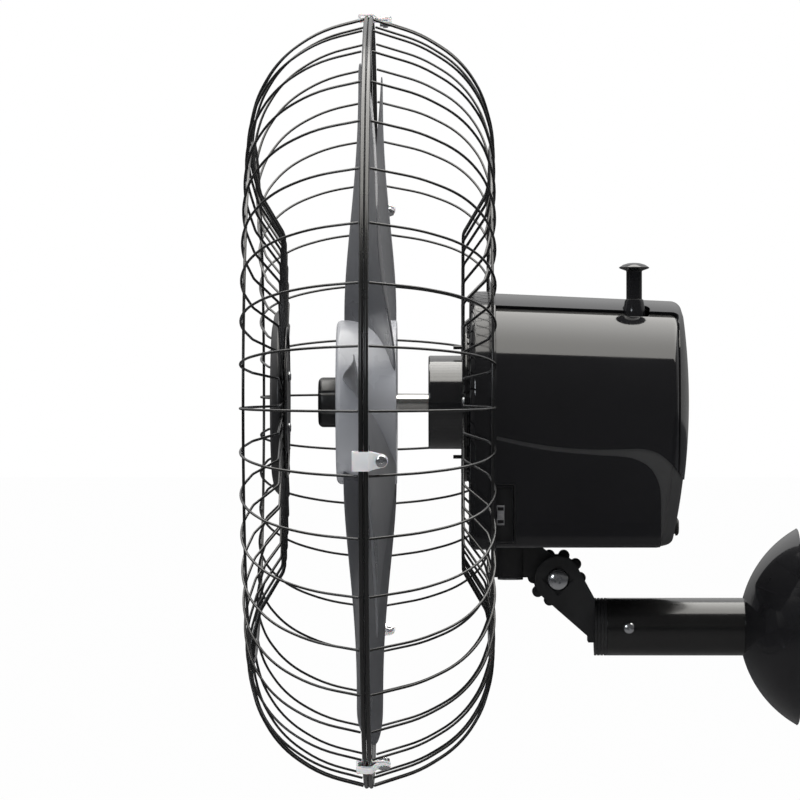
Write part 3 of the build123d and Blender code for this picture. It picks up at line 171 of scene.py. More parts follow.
def slab_of(outline, span_of, plane="YZ"):
    """A plate from an outline in a plane, between two limits across it."""
    order = {"YZ": lambda u, v, w: (w, u, v), "XZ": lambda u, v, w: (u, w, v),
             "XY": lambda u, v, w: (u, v, w)}[plane]
    count = len(outline)
    verts = [Vector(order(u, v, w)) for w in span_of for u, v in outline]
    faces = [tuple(range(count)), tuple(range(2 * count - 1, count - 1, -1))]
    faces += [(i, (i + 1) % count, count + (i + 1) % count, count + i) for i in range(count)]
    return verts, faces


def moved(shape, matrix):
    return [matrix @ Vector(point) for point in shape[0]], shape[1]


def about_fan(angle):
    """Turn by an angle about the fan's axis, from +X towards +Z."""
    shift = Matrix.Translation(FAN_CENTRE)
    return shift @ Matrix.Rotation(-angle, 4, "Y") @ shift.inverted()


def tidy_mesh(mesh, merge=1e-6):
    shape = bmesh.new()
    shape.from_mesh(mesh)
    bmesh.ops.remove_doubles(shape, verts=shape.verts, dist=merge)
    bmesh.ops.dissolve_degenerate(shape, edges=shape.edges, dist=merge / 2)
    bmesh.ops.recalc_face_normals(shape, faces=shape.faces)
    shape.to_mesh(mesh)
    shape.free()


def placed(name, data):
    """A new object in the scene that shows a mesh, a light or a camera."""
    thing = bpy.data.objects.new(name, data)
    bpy.context.scene.collection.objects.link(thing)
    return thing


def raw(name, shape):
    """A mesh object with nothing on it yet."""
    mesh = bpy.data.meshes.new(name)
    mesh.from_pydata([tuple(point) for point in shape[0]], [], shape[1])
    tidy_mesh(mesh)
    return placed(name, mesh)


def settle(thing):
    """Turn an object's modifiers into plain mesh."""
    bpy.context.view_layer.update()
    seen = thing.evaluated_get(bpy.context.evaluated_depsgraph_get())
    mesh = bpy.data.meshes.new_from_object(seen)
    old, name = thing.data, thing.data.name
    thing.modifiers.clear()
    thing.data = mesh
    bpy.data.meshes.remove(old)
    mesh.name = name


def discard(*things):
    for thing in things:
        mesh = thing.data
        bpy.data.objects.remove(thing)
        bpy.data.meshes.remove(mesh)


def carve(thing, *shapes, mode="DIFFERENCE"):
    """Cut shapes out of an object, or add them to it."""
    cutters = []
    for shape in shapes:
        cutter = raw("cutter", shape)
        cut = thing.modifiers.new("cut", "BOOLEAN")
        cut.operation, cut.object, cut.solver = mode, cutter, "EXACT"
        cutters.append(cutter)
    settle(thing)
    discard(*cutters)
    tidy_mesh(thing.data)


def ease_edges(thing, width, angle=32.0, steps=2):
    """Small rounds on the sharp edges."""
    bevel = thing.modifiers.new("ease", "BEVEL")
    bevel.width, bevel.segments, bevel.limit_method = width, steps, "ANGLE"
    bevel.angle_limit, bevel.use_clamp_overlap, bevel.harden_normals = radians(angle), True, False
    bevel.miter_outer = "MITER_ARC"
    settle(thing)


def shade(thing, angle=35.0, weighted=False):
    mesh = thing.data
    mesh.shade_smooth()
    mesh.set_sharp_from_angle(angle=radians(angle))
    if weighted:
        modifier = thing.modifiers.new("weighted", "WEIGHTED_NORMAL")
        modifier.keep_sharp, modifier.weight = True, 90
        settle(thing)


def dress(thing, body, finish, stands_for=(), angle=35.0, weighted=False):
    """Finish a piece: smooth shading, its material, its body and its place in the record."""
    shade(thing, angle, weighted)
    thing.data.materials.clear()
    thing.data.materials.append(finish_of(finish))
    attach(thing, body)
    if stands_for:
        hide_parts(*stands_for)
    return thing


def copied(node, name):
    """A merged copy of a solid's mesh, flat faces made whole."""
    source = frame["nodes"][node].data.copy()
    source.name = name
    shape = bmesh.new()
    shape.from_mesh(source)
    bmesh.ops.remove_doubles(shape, verts=shape.verts, dist=2e-6)
    bmesh.ops.dissolve_limit(shape, angle_limit=radians(0.6), verts=shape.verts, edges=shape.edges)
    shape.to_mesh(source)
    shape.free()
    return placed(name, source)


def eased_copy(node, name, width, body, finish, angle=35.0):
    thing = copied(node, name)
    ease_edges(thing, width)
    return dress(thing, body, finish, [node], angle, weighted=True)


# ---- Geometry Nodes ----

def new_tree(name, sockets):
    tree = bpy.data.node_groups.new(name, "GeometryNodeTree")
    for label, kind in sockets:
        tree.interface.new_socket(label, in_out="INPUT", socket_type=kind)
    tree.interface.new_socket("Geometry", in_out="OUTPUT", socket_type="NodeSocketGeometry")
    return tree, tree.nodes.new("NodeGroupInput"), tree.nodes.new("NodeGroupOutput")


def add(tree, kind, inputs=None, **settings):
    """Add a node; an input is a value, or a socket to link from."""
    node = tree.nodes.new(kind)
    for key, value in settings.items():
        setattr(node, key, value)
    for key, value in (inputs or {}).items():
        if isinstance(value, bpy.types.NodeSocket):
            tree.links.new(value, node.inputs[key])
        else:
            node.inputs[key].default_value = value
    return node


def maths(tree, operation, *values):
    """The result of a sum on numbers and sockets, as a socket."""
    return add(tree, "ShaderNodeMath", dict(enumerate(values)), operation=operation).outputs[0]


def source_of(tree, socket):
    """The geometry of the object that a socket names."""
    info = add(tree, "GeometryNodeObjectInfo", {"Object": socket}, transform_space="ORIGINAL")
    return info.outputs["Geometry"]


def finish_tree(tree, start, end, geometry):
    """Make a tree's geometry real, give it the material and send it out."""
    whole = add(tree, "GeometryNodeRealizeInstances", {"Geometry": geometry})
    coloured = add(tree, "GeometryNodeSetMaterial",
                   {"Geometry": whole.outputs["Geometry"], "Material": start.outputs["Material"]})
    tree.links.new(coloured.outputs["Geometry"], end.inputs["Geometry"])
    return tree


def round_bar_tree():
    """Turns a path of edges into a smooth round bar."""
    tree, start, end = new_tree("Round bar on a path", [
        ("Geometry", "NodeSocketGeometry"), ("Bar radius", "NodeSocketFloat"), ("Sides", "NodeSocketInt"),
        ("Material", "NodeSocketMaterial")])
    path = add(tree, "GeometryNodeMeshToCurve", {"Mesh": start.outputs["Geometry"]})
    section = add(tree, "GeometryNodeCurvePrimitiveCircle", {
        "Resolution": start.outputs["Sides"], "Radius": start.outputs["Bar radius"]}, mode="RADIUS")
    body = add(tree, "GeometryNodeCurveToMesh",
               {"Curve": path.outputs["Curve"], "Profile Curve": section.outputs["Curve"], "Fill Caps": True})
    return finish_tree(tree, start, end, body.outputs["Mesh"])


def turned_copies_tree():
    """Copies of an object turned about the fan's axis, one for each point's turn."""
    tree, start, end = new_tree("Copies about the fan's axis", [
        ("Geometry", "NodeSocketGeometry"), ("Piece", "NodeSocketObject"), ("Axis height", "NodeSocketFloat"),
        ("Material", "NodeSocketMaterial")])
    source = source_of(tree, start.outputs["Piece"])
    down = maths(tree, "MULTIPLY", start.outputs["Axis height"], -1.0)
    below = add(tree, "ShaderNodeCombineXYZ", {"Z": down})
    above = add(tree, "ShaderNodeCombineXYZ", {"Z": start.outputs["Axis height"]})
    centred = add(tree, "GeometryNodeTransform",
                  {"Geometry": source, "Translation": below.outputs[0]})
    angle = add(tree, "GeometryNodeInputNamedAttribute", {"Name": "turn"}, data_type="FLOAT")
    euler = add(tree, "ShaderNodeCombineXYZ", {"Y": maths(tree, "MULTIPLY", angle.outputs["Attribute"], -1.0)})
    turn = add(tree, "FunctionNodeEulerToRotation", {"Euler": euler.outputs[0]})
    copies = add(tree, "GeometryNodeInstanceOnPoints",
                 {"Points": start.outputs["Geometry"], "Instance": centred.outputs["Geometry"],
                  "Rotation": turn.outputs["Rotation"]})
    placed = add(tree, "GeometryNodeTransform",
                 {"Geometry": copies.outputs["Instances"], "Translation": above.outputs[0]})
    return finish_tree(tree, start, end, placed.outputs["Geometry"])


def fasteners_tree():
    """One fastener on each point, along the point's own direction."""
    tree, start, end = new_tree("Fasteners on seats", [
        ("Geometry", "NodeSocketGeometry"), ("Fastener", "NodeSocketObject"),
        ("Material", "NodeSocketMaterial")])
    source = source_of(tree, start.outputs["Fastener"])
    way = add(tree, "GeometryNodeInputNamedAttribute", {"Name": "way"}, data_type="FLOAT_VECTOR")
    turn = add(tree, "GeometryNodeInputNamedAttribute", {"Name": "turn"}, data_type="FLOAT")
    spin = add(tree, "ShaderNodeCombineXYZ", {"Z": turn.outputs["Attribute"]})
    spun = add(tree, "FunctionNodeEulerToRotation", {"Euler": spin.outputs[0]})
    aimed = add(tree, "FunctionNodeAlignRotationToVector",
                {"Rotation": spun.outputs["Rotation"], "Vector": way.outputs["Attribute"]}, axis="Z")
    copies = add(tree, "GeometryNodeInstanceOnPoints",
                 {"Points": start.outputs["Geometry"], "Instance": source,
                  "Rotation": aimed.outputs["Rotation"]})
    return finish_tree(tree, start, end, copies.outputs["Instances"])


TREES = {}


def grow(thing, make_tree, **values):
    """Run a tree on an object and keep the result as plain mesh."""
    if make_tree not in TREES:
        TREES[make_tree] = make_tree()
    tree = TREES[make_tree]
    modifier = thing.modifiers.new("grow", "NODES")
    modifier.node_group = tree
    names = {key.replace("_", " "): value for key, value in values.items()}
    for item in tree.interface.items_tree:
        if item.in_out == "INPUT" and item.name in names:
            modifier[item.identifier] = names[item.name]
    settle(thing)
    return thing


def path_object(name, points, closed=False):
    mesh = bpy.data.meshes.new(name)
    edges = [(i, i + 1) for i in range(len(points) - 1)] + ([(len(points) - 1, 0)] if closed else [])
    mesh.from_pydata([tuple(point) for point in points], edges, [])
    return placed(name, mesh)


def seats_object(name, places, turns, ways=None):
    """Points that carry a turn and, for fasteners, a direction."""
    mesh = bpy.data.meshes.new(name)
    mesh.from_pydata([tuple(place) for place in places], [], [])
    turn = mesh.attributes.new("turn", "FLOAT", "POINT")
    turn.data.foreach_set("value", [float(value) for value in turns])
    if ways:
        way = mesh.attributes.new("way", "FLOAT_VECTOR", "POINT")
        way.data.foreach_set("vector", [float(value) for vector in ways for value in vector])
    return placed(name, mesh)


def around(name, shape, turns, finish, extra=None):
    """Copies of a shape about the fan's axis, as one plain mesh."""
    source = raw("source", shape)
    if extra:
        extra(source)
    places = [(0, 0, 0)] * len(turns)
    thing = seats_object(name, places, turns)
    grow(thing, turned_copies_tree, Piece=source, Axis_height=FAN_Z, Material=finish_of(finish))
    discard(source)
    return thing


# ---- Materials ----

def material(name, colour, roughness, tone, tone_scale, rough_spread, grain_scale, grain_depth,
             grain_strength, metallic=0.0, wave=None, hub_gain=None, **sockets):
    """A procedural finish: a slightly uneven colour and roughness, with a fine grain in its surface."""
    if name in bpy.data.materials:
        return bpy.data.materials[name]
    made = bpy.data.materials.new(name)
    made.use_nodes = True
    tree = made.node_tree
    shader = tree.nodes["Principled BSDF"]
    place = add(tree, "ShaderNodeTexCoord").outputs["Object"]
    patch = add(tree, "ShaderNodeTexNoise", {"Vector": place, "Scale": tone_scale, "Detail": 4.0})
    darker = [channel * (1 - tone) for channel in colour] + [1.0]
    lighter = [channel * (1 + tone) for channel in colour] + [1.0]
    tint = add(tree, "ShaderNodeMix", {"Factor": patch.outputs["Fac"], "A": darker, "B": lighter},
               data_type="RGBA")
    for key, value in (("A", darker), ("B", lighter)):
        next(s for s in tint.inputs if s.name == key and s.type == "RGBA").default_value = value
    tree.links.new(next(s for s in tint.outputs if s.type == "RGBA"), shader.inputs["Base Color"])
    wear = add(tree, "ShaderNodeMapRange", {"Value": patch.outputs["Fac"], "From Min": 0.3, "From Max": 0.7,
                                            "To Min": max(0.02, roughness - rough_spread),
                                            "To Max": roughness + rough_spread})
    tree.links.new(wear.outputs["Result"], shader.inputs["Roughness"])
    grain = add(tree, "ShaderNodeTexNoise", {"Vector": place, "Scale": grain_scale, "Detail": 3.0})
    height = grain.outputs["Fac"]
    if wave:
        axis, wave_scale, share = wave
        lines = add(tree, "ShaderNodeTexWave", {"Vector": place, "Scale": wave_scale, "Distortion": 0.6},
                    wave_type="BANDS", bands_direction=axis)
        height = maths(tree, "MULTIPLY_ADD", lines.outputs["Fac"], share, height)
    bump = add(tree, "ShaderNodeBump",
               {"Height": height, "Strength": grain_strength, "Distance": grain_depth})
    tree.links.new(bump.outputs["Normal"], shader.inputs["Normal"])
    shader.inputs["Metallic"].default_value = metallic
    for key, value in sockets.items():
        shader.inputs[key.replace("_", " ")].default_value = value
    if hub_gain:
        lighten_hub(tree, shader, settings("fan").hub_radius + 0.2 * MM, hub_gain)
    return made


def lighten_hub(tree, shader, radius, gain):
    """Lighten a finish within a radius of the fan's axis."""
    base = shader.inputs["Base Color"].links[0].from_socket
    place = add(tree, "ShaderNodeTexCoord").outputs["Object"]
    offset = add(tree, "ShaderNodeVectorMath", {0: place, 1: FAN_CENTRE}, operation="SUBTRACT")
    flat = add(tree, "ShaderNodeVectorMath", {0: offset.outputs[0], 1: (1, 0, 1)}, operation="MULTIPLY")
    away = add(tree, "ShaderNodeVectorMath", {0: flat.outputs[0]}, operation="LENGTH")
    inside = maths(tree, "LESS_THAN", away.outputs["Value"], radius)
    scale = maths(tree, "MULTIPLY_ADD", inside, gain - 1, 1.0)
    bright = add(tree, "ShaderNodeVectorMath", {0: base, 3: scale}, operation="SCALE")
    tree.links.new(bright.outputs[0], shader.inputs["Base Color"])


def colour_of(key):
    return list(getattr(bpy.context.scene.wall_fan_finishes, key))


# Each finish: its base colour, or the setting that holds it; roughness; how uneven the colour is and at what
# scale; how uneven the roughness is; the grain's scale, depth and strength; and what else it sets.
FINISHES = {
    "glossy black housing": ("housing", 0.075, 0.2, 18, 0.02, 70, 6e-05, 0.12, {"Specular_IOR_Level": 0.5}),
    "satin black plastic": ("satin_plastic", 0.34, 0.25, 60, 0.05, 1400, 3e-05, 0.35, {}),
    "channel black": ((0.006, 0.006, 0.006), 0.62, 0.3, 90, 0.08, 900, 5e-05, 0.4,
        {"Specular_IOR_Level": 0.25}),
    "grey sweep": ("sweep", 0.42, 0.12, 35, 0.04, 1600, 3e-05, 0.4, {}),
    "black enamel": ("enamel", 0.16, 0.25, 30, 0.05, 220, 3e-05, 0.2,
        {"Coat_Weight": 0.3, "Coat_Roughness": 0.08}),
    "black powder coat": ("powder", 0.4, 0.3, 80, 0.06, 1100, 6e-05, 0.5, {}),
    "wire enamel": ("enamel", 0.24, 0.3, 25, 0.08, 500, 3e-05, 0.25,
        {"Coat_Weight": 0.2, "Coat_Roughness": 0.12}),
    "blade grey": ("blade", 0.3, 0.1, 12, 0.05, 300, 4e-05, 0.15,
        {"hub_gain": 3.1, "Coat_Weight": 0.15, "Coat_Roughness": 0.14}),
    "nose black": ("housing", 0.09, 0.2, 18, 0.02, 70, 6e-05, 0.12, {"Specular_IOR_Level": 0.95}),
    "pale clip plastic": ("clip", 0.32, 0.05, 60, 0.05, 600, 3e-05, 0.2,
        {"Subsurface_Weight": 0.25, "Subsurface_Scale": 0.002}),
    "bright zinc": ((0.78, 0.79, 0.81), 0.17, 0.08, 400, 0.07, 1500, 3e-05, 0.3, {"metallic": 1.0}),
    "dull zinc": ((0.5, 0.51, 0.52), 0.34, 0.12, 150, 0.08, 1200, 3e-05, 0.3, {"metallic": 1.0}),
    "turned shaft": ((0.66, 0.65, 0.62), 0.14, 0.06, 90, 0.04, 1800, 2e-05, 0.2,
        {"metallic": 1.0, "wave": ("Y", 900, 0.6)}),
    "cast alloy": ((0.55, 0.56, 0.57), 0.46, 0.12, 120, 0.08, 900, 8e-05, 0.5, {"metallic": 1.0}),
    "core laminations": ((0.16, 0.17, 0.19), 0.4, 0.2, 200, 0.06, 700, 5e-05, 0.4,
        {"metallic": 1.0, "wave": ("Y", 300, 1.5)}),
    "enamelled copper": ((0.6, 0.25, 0.1), 0.26, 0.2, 300, 0.06, 900, 0.0001, 0.6,
        {"metallic": 1.0, "wave": ("DIAGONAL", 220, 1.0)}),
    "sintered bronze": ((0.42, 0.27, 0.12), 0.42, 0.2, 400, 0.08, 1500, 5e-05, 0.5, {"metallic": 1.0}),
    "white nylon": ((0.68, 0.66, 0.6), 0.4, 0.04, 60, 0.05, 700, 3e-05, 0.2,
        {"Subsurface_Weight": 0.2, "Subsurface_Scale": 0.002}),
    "slider grey": ((0.24, 0.24, 0.25), 0.36, 0.08, 120, 0.05, 1200, 3e-05, 0.3, {}),
    "black fibre": ((0.014, 0.014, 0.014), 0.7, 0.3, 300, 0.08, 1800, 6e-05, 0.6, {}),
    "black rubber": ((0.012, 0.012, 0.012), 0.55, 0.25, 120, 0.08, 1000, 5e-05, 0.4, {}),
}


def finish_of(name):
    colour, *values, others = FINISHES[name]
    return material(name, colour_of(colour) if isinstance(colour, str) else colour, *values, **others)


FINISH_OF_SLOT = {
    "black_gloss": "glossy black housing", "black_satin": "satin black plastic",
    "black_paint": "black enamel", "black_casting": "black powder coat",
    "grey_trim": "grey sweep", "blade_grey": "blade grey",
    "zinc_steel": "dull zinc", "bright_screw": "bright zinc", "shaft_steel": "turned shaft",
    "cast_alloy": "cast alloy", "core_steel": "core laminations", "copper": "enamelled copper",
    "bronze": "sintered bronze", "white_nylon": "white nylon", "pale_clip": "pale clip plastic",
    "pale_grey": "slider grey", "black_fibre": "black fibre", "black_rubber": "black rubber",
}


def finish_solids():
    """Give each solid that stays in view its finish, by its slot in the record."""
    slots = {part["node"]: part["material_slot"] for part in frame["record"]["subparts"]}
    for node, thing in frame["nodes"].items():
        thing.data.materials.clear()
        thing.data.materials.append(finish_of(FINISH_OF_SLOT[slots[node]]))


# ---- Sizes that a user would change ----

def length(name, text, default, low=0.0, high=2000.0):
    return FloatProperty(name=name, description=text, default=default * MM, min=low * MM, max=high * MM,
                         unit="LENGTH", subtype="DISTANCE", precision=5)


def colour(name, text, default):
    return FloatVectorProperty(name=name, description=text, default=default, size=3, min=0, max=1,
                               subtype="COLOR")


class FinishSettings(bpy.types.PropertyGroup):
    housing: colour("Housing", "Base colour of the glossy housing", (0.008, 0.008, 0.009))
    satin_plastic: colour("Satin plastic", "Base colour of knobs and panels", (0.012, 0.012, 0.013))
    sweep: colour("Sweep", "Base colour of the grey sweep on the head", (0.03, 0.03, 0.031))
    enamel: colour("Enamel", "Base colour of the enamelled steel", (0.007, 0.007, 0.007))
    powder: colour("Powder coat", "Base colour of the castings", (0.015, 0.015, 0.016))
    blade: colour("Blades", "Base colour of the blade moulding", (0.118, 0.121, 0.132))
    clip: colour("Clips", "Base colour of the guard clips", (0.7, 0.71, 0.73))


class WallEndSettings(bpy.types.PropertyGroup):
    canopy_wall: length("Canopy wall", "Thickness of the wall canopy", 2.2)
    canopy_lip: length("Canopy lip", "Rounding of the canopy's rim", 1.0)
    tube_wall: length("Tube wall", "Thickness of the arm tube", 1.5)
    edge: length("Casting edge", "Rounding of the castings' edges", 0.7)
    pocket_edge: length("Plate edge", "Rounding of thin plates' edges", 0.35)


class HeadSettings(bpy.types.PropertyGroup):
    radius: length("Head radius", "Radius of the round top of the head", 85.0)
    low_corner: length("Low corner", "Corner radius along the foot of the head", 10.0)
    top_drop: length("Top drop", "How far the top falls towards the back", 7.0)
    back_radius: length("Back radius", "Radius of the back, seen from above", 290.0)
    back_side_radius: length("Back side radius", "Radius of the back, seen from the side", 500.0)
    back_edge: length("Back edge", "Rounding where the sides meet the back", 4.0)
    back_top_edge: length("Back top edge", "Rounding where the top meets the back", 8.0)
    back_foot_edge: length("Back foot edge", "Rounding where the foot meets the back", 7.0)
    wall: length("Wall", "Thickness of the moulded covers", 2.5)
    spine: length("Spine", "Half the width of the strip over the top", 40.0)
    seam: length("Seam", "Width of the channel along the strip", 7.5)
    back_cover: length("Back cover", "Depth of the cover over the whole back", 11.2)
    back_seam: length("Back seam", "Width of the joint in front of the back cover", 1.5)
    sweep_step: length("Sweep step", "How far the grey sweep lies below the sides", 0.7)


class FanSettings(bpy.types.PropertyGroup):
    hub_radius: length("Hub radius", "Radius of the hub", 64.0)
    blade_thickness: length("Blade thickness", "Thickness of a blade", 3.0)
    tip_radius: length("Tip radius", "Radius of the blade tips", 267.0)
    tip_corner: length("Tip corner", "Rounding of a blade's tip corners", 10.0)
    blades: IntProperty(name="Blades", description="Number of blades", default=5, min=1, max=12)


class GuardSettings(bpy.types.PropertyGroup):
    radius: length("Guard radius", "Outer radius of the rim rings", 300.9)
    wire: length("Wire radius", "Radius of a guard wire", 1.0)
    rim_wire: length("Rim wire radius", "Radius of the rim rings' wire", 1.75)
    ridge_wire: length("Ridge wire radius", "Radius of the inner rings' wire", 1.1)
    wires: IntProperty(name="Wires", description="Wires in each half", default=40, min=4, max=200)
    first_wire: FloatProperty(name="First wire", description="Angle of the first wire",
                              default=radians(-1.22), subtype="ANGLE", unit="ROTATION")


class StageSettings(bpy.types.PropertyGroup):
    lens: FloatProperty(name="Lens", description="Focal length in millimetres", default=209.25, min=10,
                        max=1000)
    distance: FloatProperty(name="Distance", description="Camera to aim point", default=3.633, min=0.1,
                            max=50, unit="LENGTH", subtype="DISTANCE")
    azimuth: FloatProperty(name="Azimuth", description="Camera's angle round the fan", default=radians(90.5),
                           subtype="ANGLE", unit="ROTATION")
    floor_drop: length("Floor drop", "Floor below the lowest point of the fan", 420.0)


def settings(key):
    return getattr(bpy.context.scene, "wall_fan_" + key)


# ---- Fasteners ----

def cross_screw(head_r, head_h, recess_r, dome=0.55, slot=0.24, steps=40):
    """A domed head drawn upwards from its seat, with a cross recess."""
    profile = [(0, 0), (head_r * 0.96, 0), (head_r, head_h * 0.16), (head_r, head_h * (1 - dome))]
    for index in range(1, 8):
        angle = pi / 2 * index / 7
        profile.append((head_r * cos(angle), head_h * (1 - dome) + head_h * dome * sin(angle)))
    screw = raw("screw", lathe(profile, axis="Z", steps=steps))
    wide, deep = recess_r * slot, head_h * 0.62
    arms = []
    for turn in (0, pi / 2):
        top, foot = recess_r, recess_r * 0.45
        outline = [(-foot, head_h - deep), (foot, head_h - deep), (top, head_h * 1.3), (-top, head_h * 1.3)]
        blade = slab_of(outline, (-wide, wide), "XZ")
        arms.append(moved(blade, Matrix.Rotation(turn, 4, "Z")))
    carve(screw, *arms)
    ease_edges(screw, head_h * 0.05, 40, 1)
    return screw


def fasten(name, sample, places, ways, turns, body, finish, stands_for=()):
    thing = seats_object(name, places, turns, ways)
    grow(thing, fasteners_tree, Fastener=sample, Material=finish_of(finish))
    discard(sample)
    return dress(thing, body, finish, stands_for, 30)


# ---- Wall end ----

def make_canopy():
    """The dome against the wall, a shell with a hole for the arm."""
    chosen = settings("wall_end")
    low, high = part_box("canopy_dome")
    mouth, deep, wall, lip = high.x, high.y - low.y, chosen.canopy_wall, chosen.canopy_lip
    ball = (mouth ** 2 + deep ** 2) / (2 * deep)
    centre = low.y + ball
    hole = TUBE_R + 0.3 * MM
    outer_start, outer_end = acos((centre - high.y) / ball), acos(sqrt(1 - (hole / ball) ** 2))
    inner = ball - wall
    steps = 56

    def arc(radius, first, last):
        angles = [first + (last - first) * i / steps for i in range(steps + 1)]
        return [(radius * sin(angle), centre - radius * cos(angle)) for angle in angles]

    inner_start, inner_end = acos((centre - high.y) / inner), acos(sqrt(1 - (hole / inner) ** 2))
    outside = arc(ball, outer_end + lip / ball, outer_start - lip / ball)
    inside = arc(inner, inner_start, inner_end)
    rim = [(mouth - 0.1 * lip, high.y - 0.5 * lip), (mouth - 0.45 * lip, high.y)]
    collar = [(hole, centre - sqrt(ball ** 2 - hole ** 2) + 0.5 * lip)]
    thing = raw("canopy", lathe(outside + rim + inside + collar, steps=160))
    dress(thing, "canopy", "glossy black housing", ["canopy_dome"], 40)


def make_arm():
    chosen = settings("wall_end")
    start, end = span("arm_tube", "Y")
    radius, wall, edge = TUBE_R, chosen.tube_wall, 0.5 * MM
    profile = rounded([(radius, start, edge), (radius, end, 0), (radius - wall, end, 0),
                       (radius - wall, start, edge)], closed=True)
    thing = raw("arm_tube_skin", lathe(profile, steps=120))
    past = 30 * MM
    carve(thing, rod(2.3 * MM, -past, past, (0, middle("arm_screws").y, 0), "X"))
    dress(thing, "wall_base", "black enamel", ["arm_tube"], 30)

    for node, name, width, finish, slot in (
            ("wall_plate", "wall_plate_skin", chosen.pocket_edge, "dull zinc", "zinc_steel"),
            ("tilt_washers", "tilt_washers_skin", chosen.pocket_edge, "black fibre", "black_fibre")):
        eased_copy(node, name, width, "wall_base", finish)


def make_bracket():
    """The plug with its ribbed flange and the two cheeks."""
    chosen = settings("wall_end")
    thing = copied("tilt_bracket", "tilt_bracket_skin")
    low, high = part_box("tilt_bracket")
    tube_front = span("arm_tube", "Y")[0]
    grooves = []
    for step in range(3):
        y = tube_front - 2.2 * MM - step * 2.6 * MM
        ring = [(TUBE_R + 1 * MM, y - 0.45 * MM), (TUBE_R + 1 * MM, y + 0.45 * MM),
                (TUBE_R - 0.7 * MM, y + 0.3 * MM), (TUBE_R - 0.7 * MM, y - 0.3 * MM)]
        grooves.append(lathe(ring, steps=96))
    carve(thing, *grooves)
    ease_edges(thing, chosen.edge, 40, 2)
    dress(thing, "wall_base", "black powder coat", ["tilt_bracket"], 35, weighted=True)


def make_tilt_fasteners():
    bolt_low, bolt_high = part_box("tilt_bolt")
    head_r = (bolt_high.z - bolt_low.z) / 2
    seat = bolt_high.x - 3.6 * MM
    sample = cross_screw(head_r, 3.9 * MM, head_r * 0.5, dome=0.8)
    end, shank_r = bolt_low.x, 4 * MM
    shank = lathe([(0, end), (shank_r - 0.1 * MM, end), (shank_r, end + 0.3 * MM), (shank_r, seat), (0, seat)],
                  (0, TILT.y, TILT.z), "X", 40)
    thing = fasten("tilt_bolt_skin", sample, [(seat, TILT.y, TILT.z)], [(1, 0, 0)], [0.5],
                   "wall_base", "bright zinc", ["tilt_bolt"])
    carve(thing, shank, mode="UNION")
    dress(thing, "wall_base", "bright zinc", ["tilt_bolt"], 30)

    screws = middle("arm_screws")
    sample = cross_screw(4.3 * MM, 2.3 * MM, 2.3 * MM, dome=0.7)
    fasten("arm_screws_skin", sample, [(side * (TUBE_R - 0.1 * MM), screws.y, 0) for side in (1, -1)],
           [(1, 0, 0), (-1, 0, 0)], [0.9, 0.3], "wall_base", "bright zinc", ["arm_screws"])


def make_lock_knob():
    low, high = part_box("tilt_lock_knob")
    seat, end, centre = high.x, low.x, (0, TILT.y, TILT.z)
    lobes, lobe_r, root_r = 10, 4.4 * MM, 18.4 * MM
    outline, steps = [], lobes * 24
    for index in range(steps):
        angle = 2 * pi * index / steps
        off = abs((angle + pi / lobes) % (2 * pi / lobes) - pi / lobes)
        lift = lobe_r ** 2 - (root_r * sin(off)) ** 2
        reach = max(root_r, root_r * cos(off) + sqrt(lift)) if lift > 0 else root_r
        outline.append((reach * cos(angle) + TILT.y, reach * sin(angle) + TILT.z))
    thick = 13 * MM
    knob = raw("tilt_lock_knob_skin", slab_of(outline, (end, end + thick), "YZ"))
    boss = rod(11 * MM, seat, end + thick - 1 * MM, centre, "X", 64)
    past, floor = end - 1 * MM, end + 1.6 * MM
    dish = lathe([(0, past), (14.5 * MM, past), (13 * MM, floor), (0, floor)], centre, "X", 64)
    carve(knob, boss, mode="UNION")
    bore = rod(7 * MM, end - 2 * MM, seat + 1 * MM, centre, "X", 48)
    carve(knob, dish, bore)
    ease_edges(knob, 0.9 * MM, 50, 3)
    dress(knob, "tilt_lock", "satin black plastic", ["tilt_lock_knob"], 35)
    eased_copy("lock_knob_nut", "lock_knob_nut_skin", 0.3 * MM, "tilt_lock", "dull zinc")


def make_neck():
    """The casting on the tilt bolt, the pivot pin and what swings on it."""
    chosen = settings("wall_end")
    eased_copy("neck_casting", "neck_casting_skin", chosen.edge, "neck", "black powder coat")
    eased_copy("pivot_pin", "pivot_pin_skin", 0.5 * MM, "neck", "dull zinc")
    for node, body in (("pivot_lever", "neck"), ("oscillation_link", "link")):
        eased_copy(node, node + "_skin", chosen.pocket_edge, body, "dull zinc")


# ---- Head ----

def head_outline(inset, drop=0.0):
    """The head's section as (x, z) points, always as many, drawn in by an inset."""
    chosen = settings("head")
    radius, low = chosen.radius - inset, HEAD_LOW + inset
    corner = max(chosen.low_corner - inset, 1 * MM)
    points = [(radius * cos(pi * i / 80), FAN_Z + radius * sin(pi * i / 80) * (1 - drop)) for i in range(81)]
    side = FAN_Z - low - corner
    points += [(-radius, FAN_Z - side * i / 10) for i in range(1, 10)]
    bends = [(corner * (1 - cos(pi / 2 * i / 10)), corner * (1 - sin(pi / 2 * i / 10))) for i in range(11)]
    points += [(-radius + across, low + up) for across, up in bends]
    flat = 2 * (radius - corner)
    points += [(-radius + corner + flat * i / 14, low) for i in range(1, 14)]
    points += [(radius - across, low + up) for across, up in reversed(bends)]
    points += [(radius, low + corner + side * i / 10) for i in range(1, 10)]
    return points


def head_rear(x, z):
    """Y of the head's back at a place on it."""
    chosen = settings("head")
    lean = chosen.back_side_radius - sqrt(chosen.back_side_radius ** 2 - (z - FAN_Z) ** 2)
    return HEAD_BACK - chosen.back_radius + sqrt((chosen.back_radius - lean) ** 2 - x ** 2)


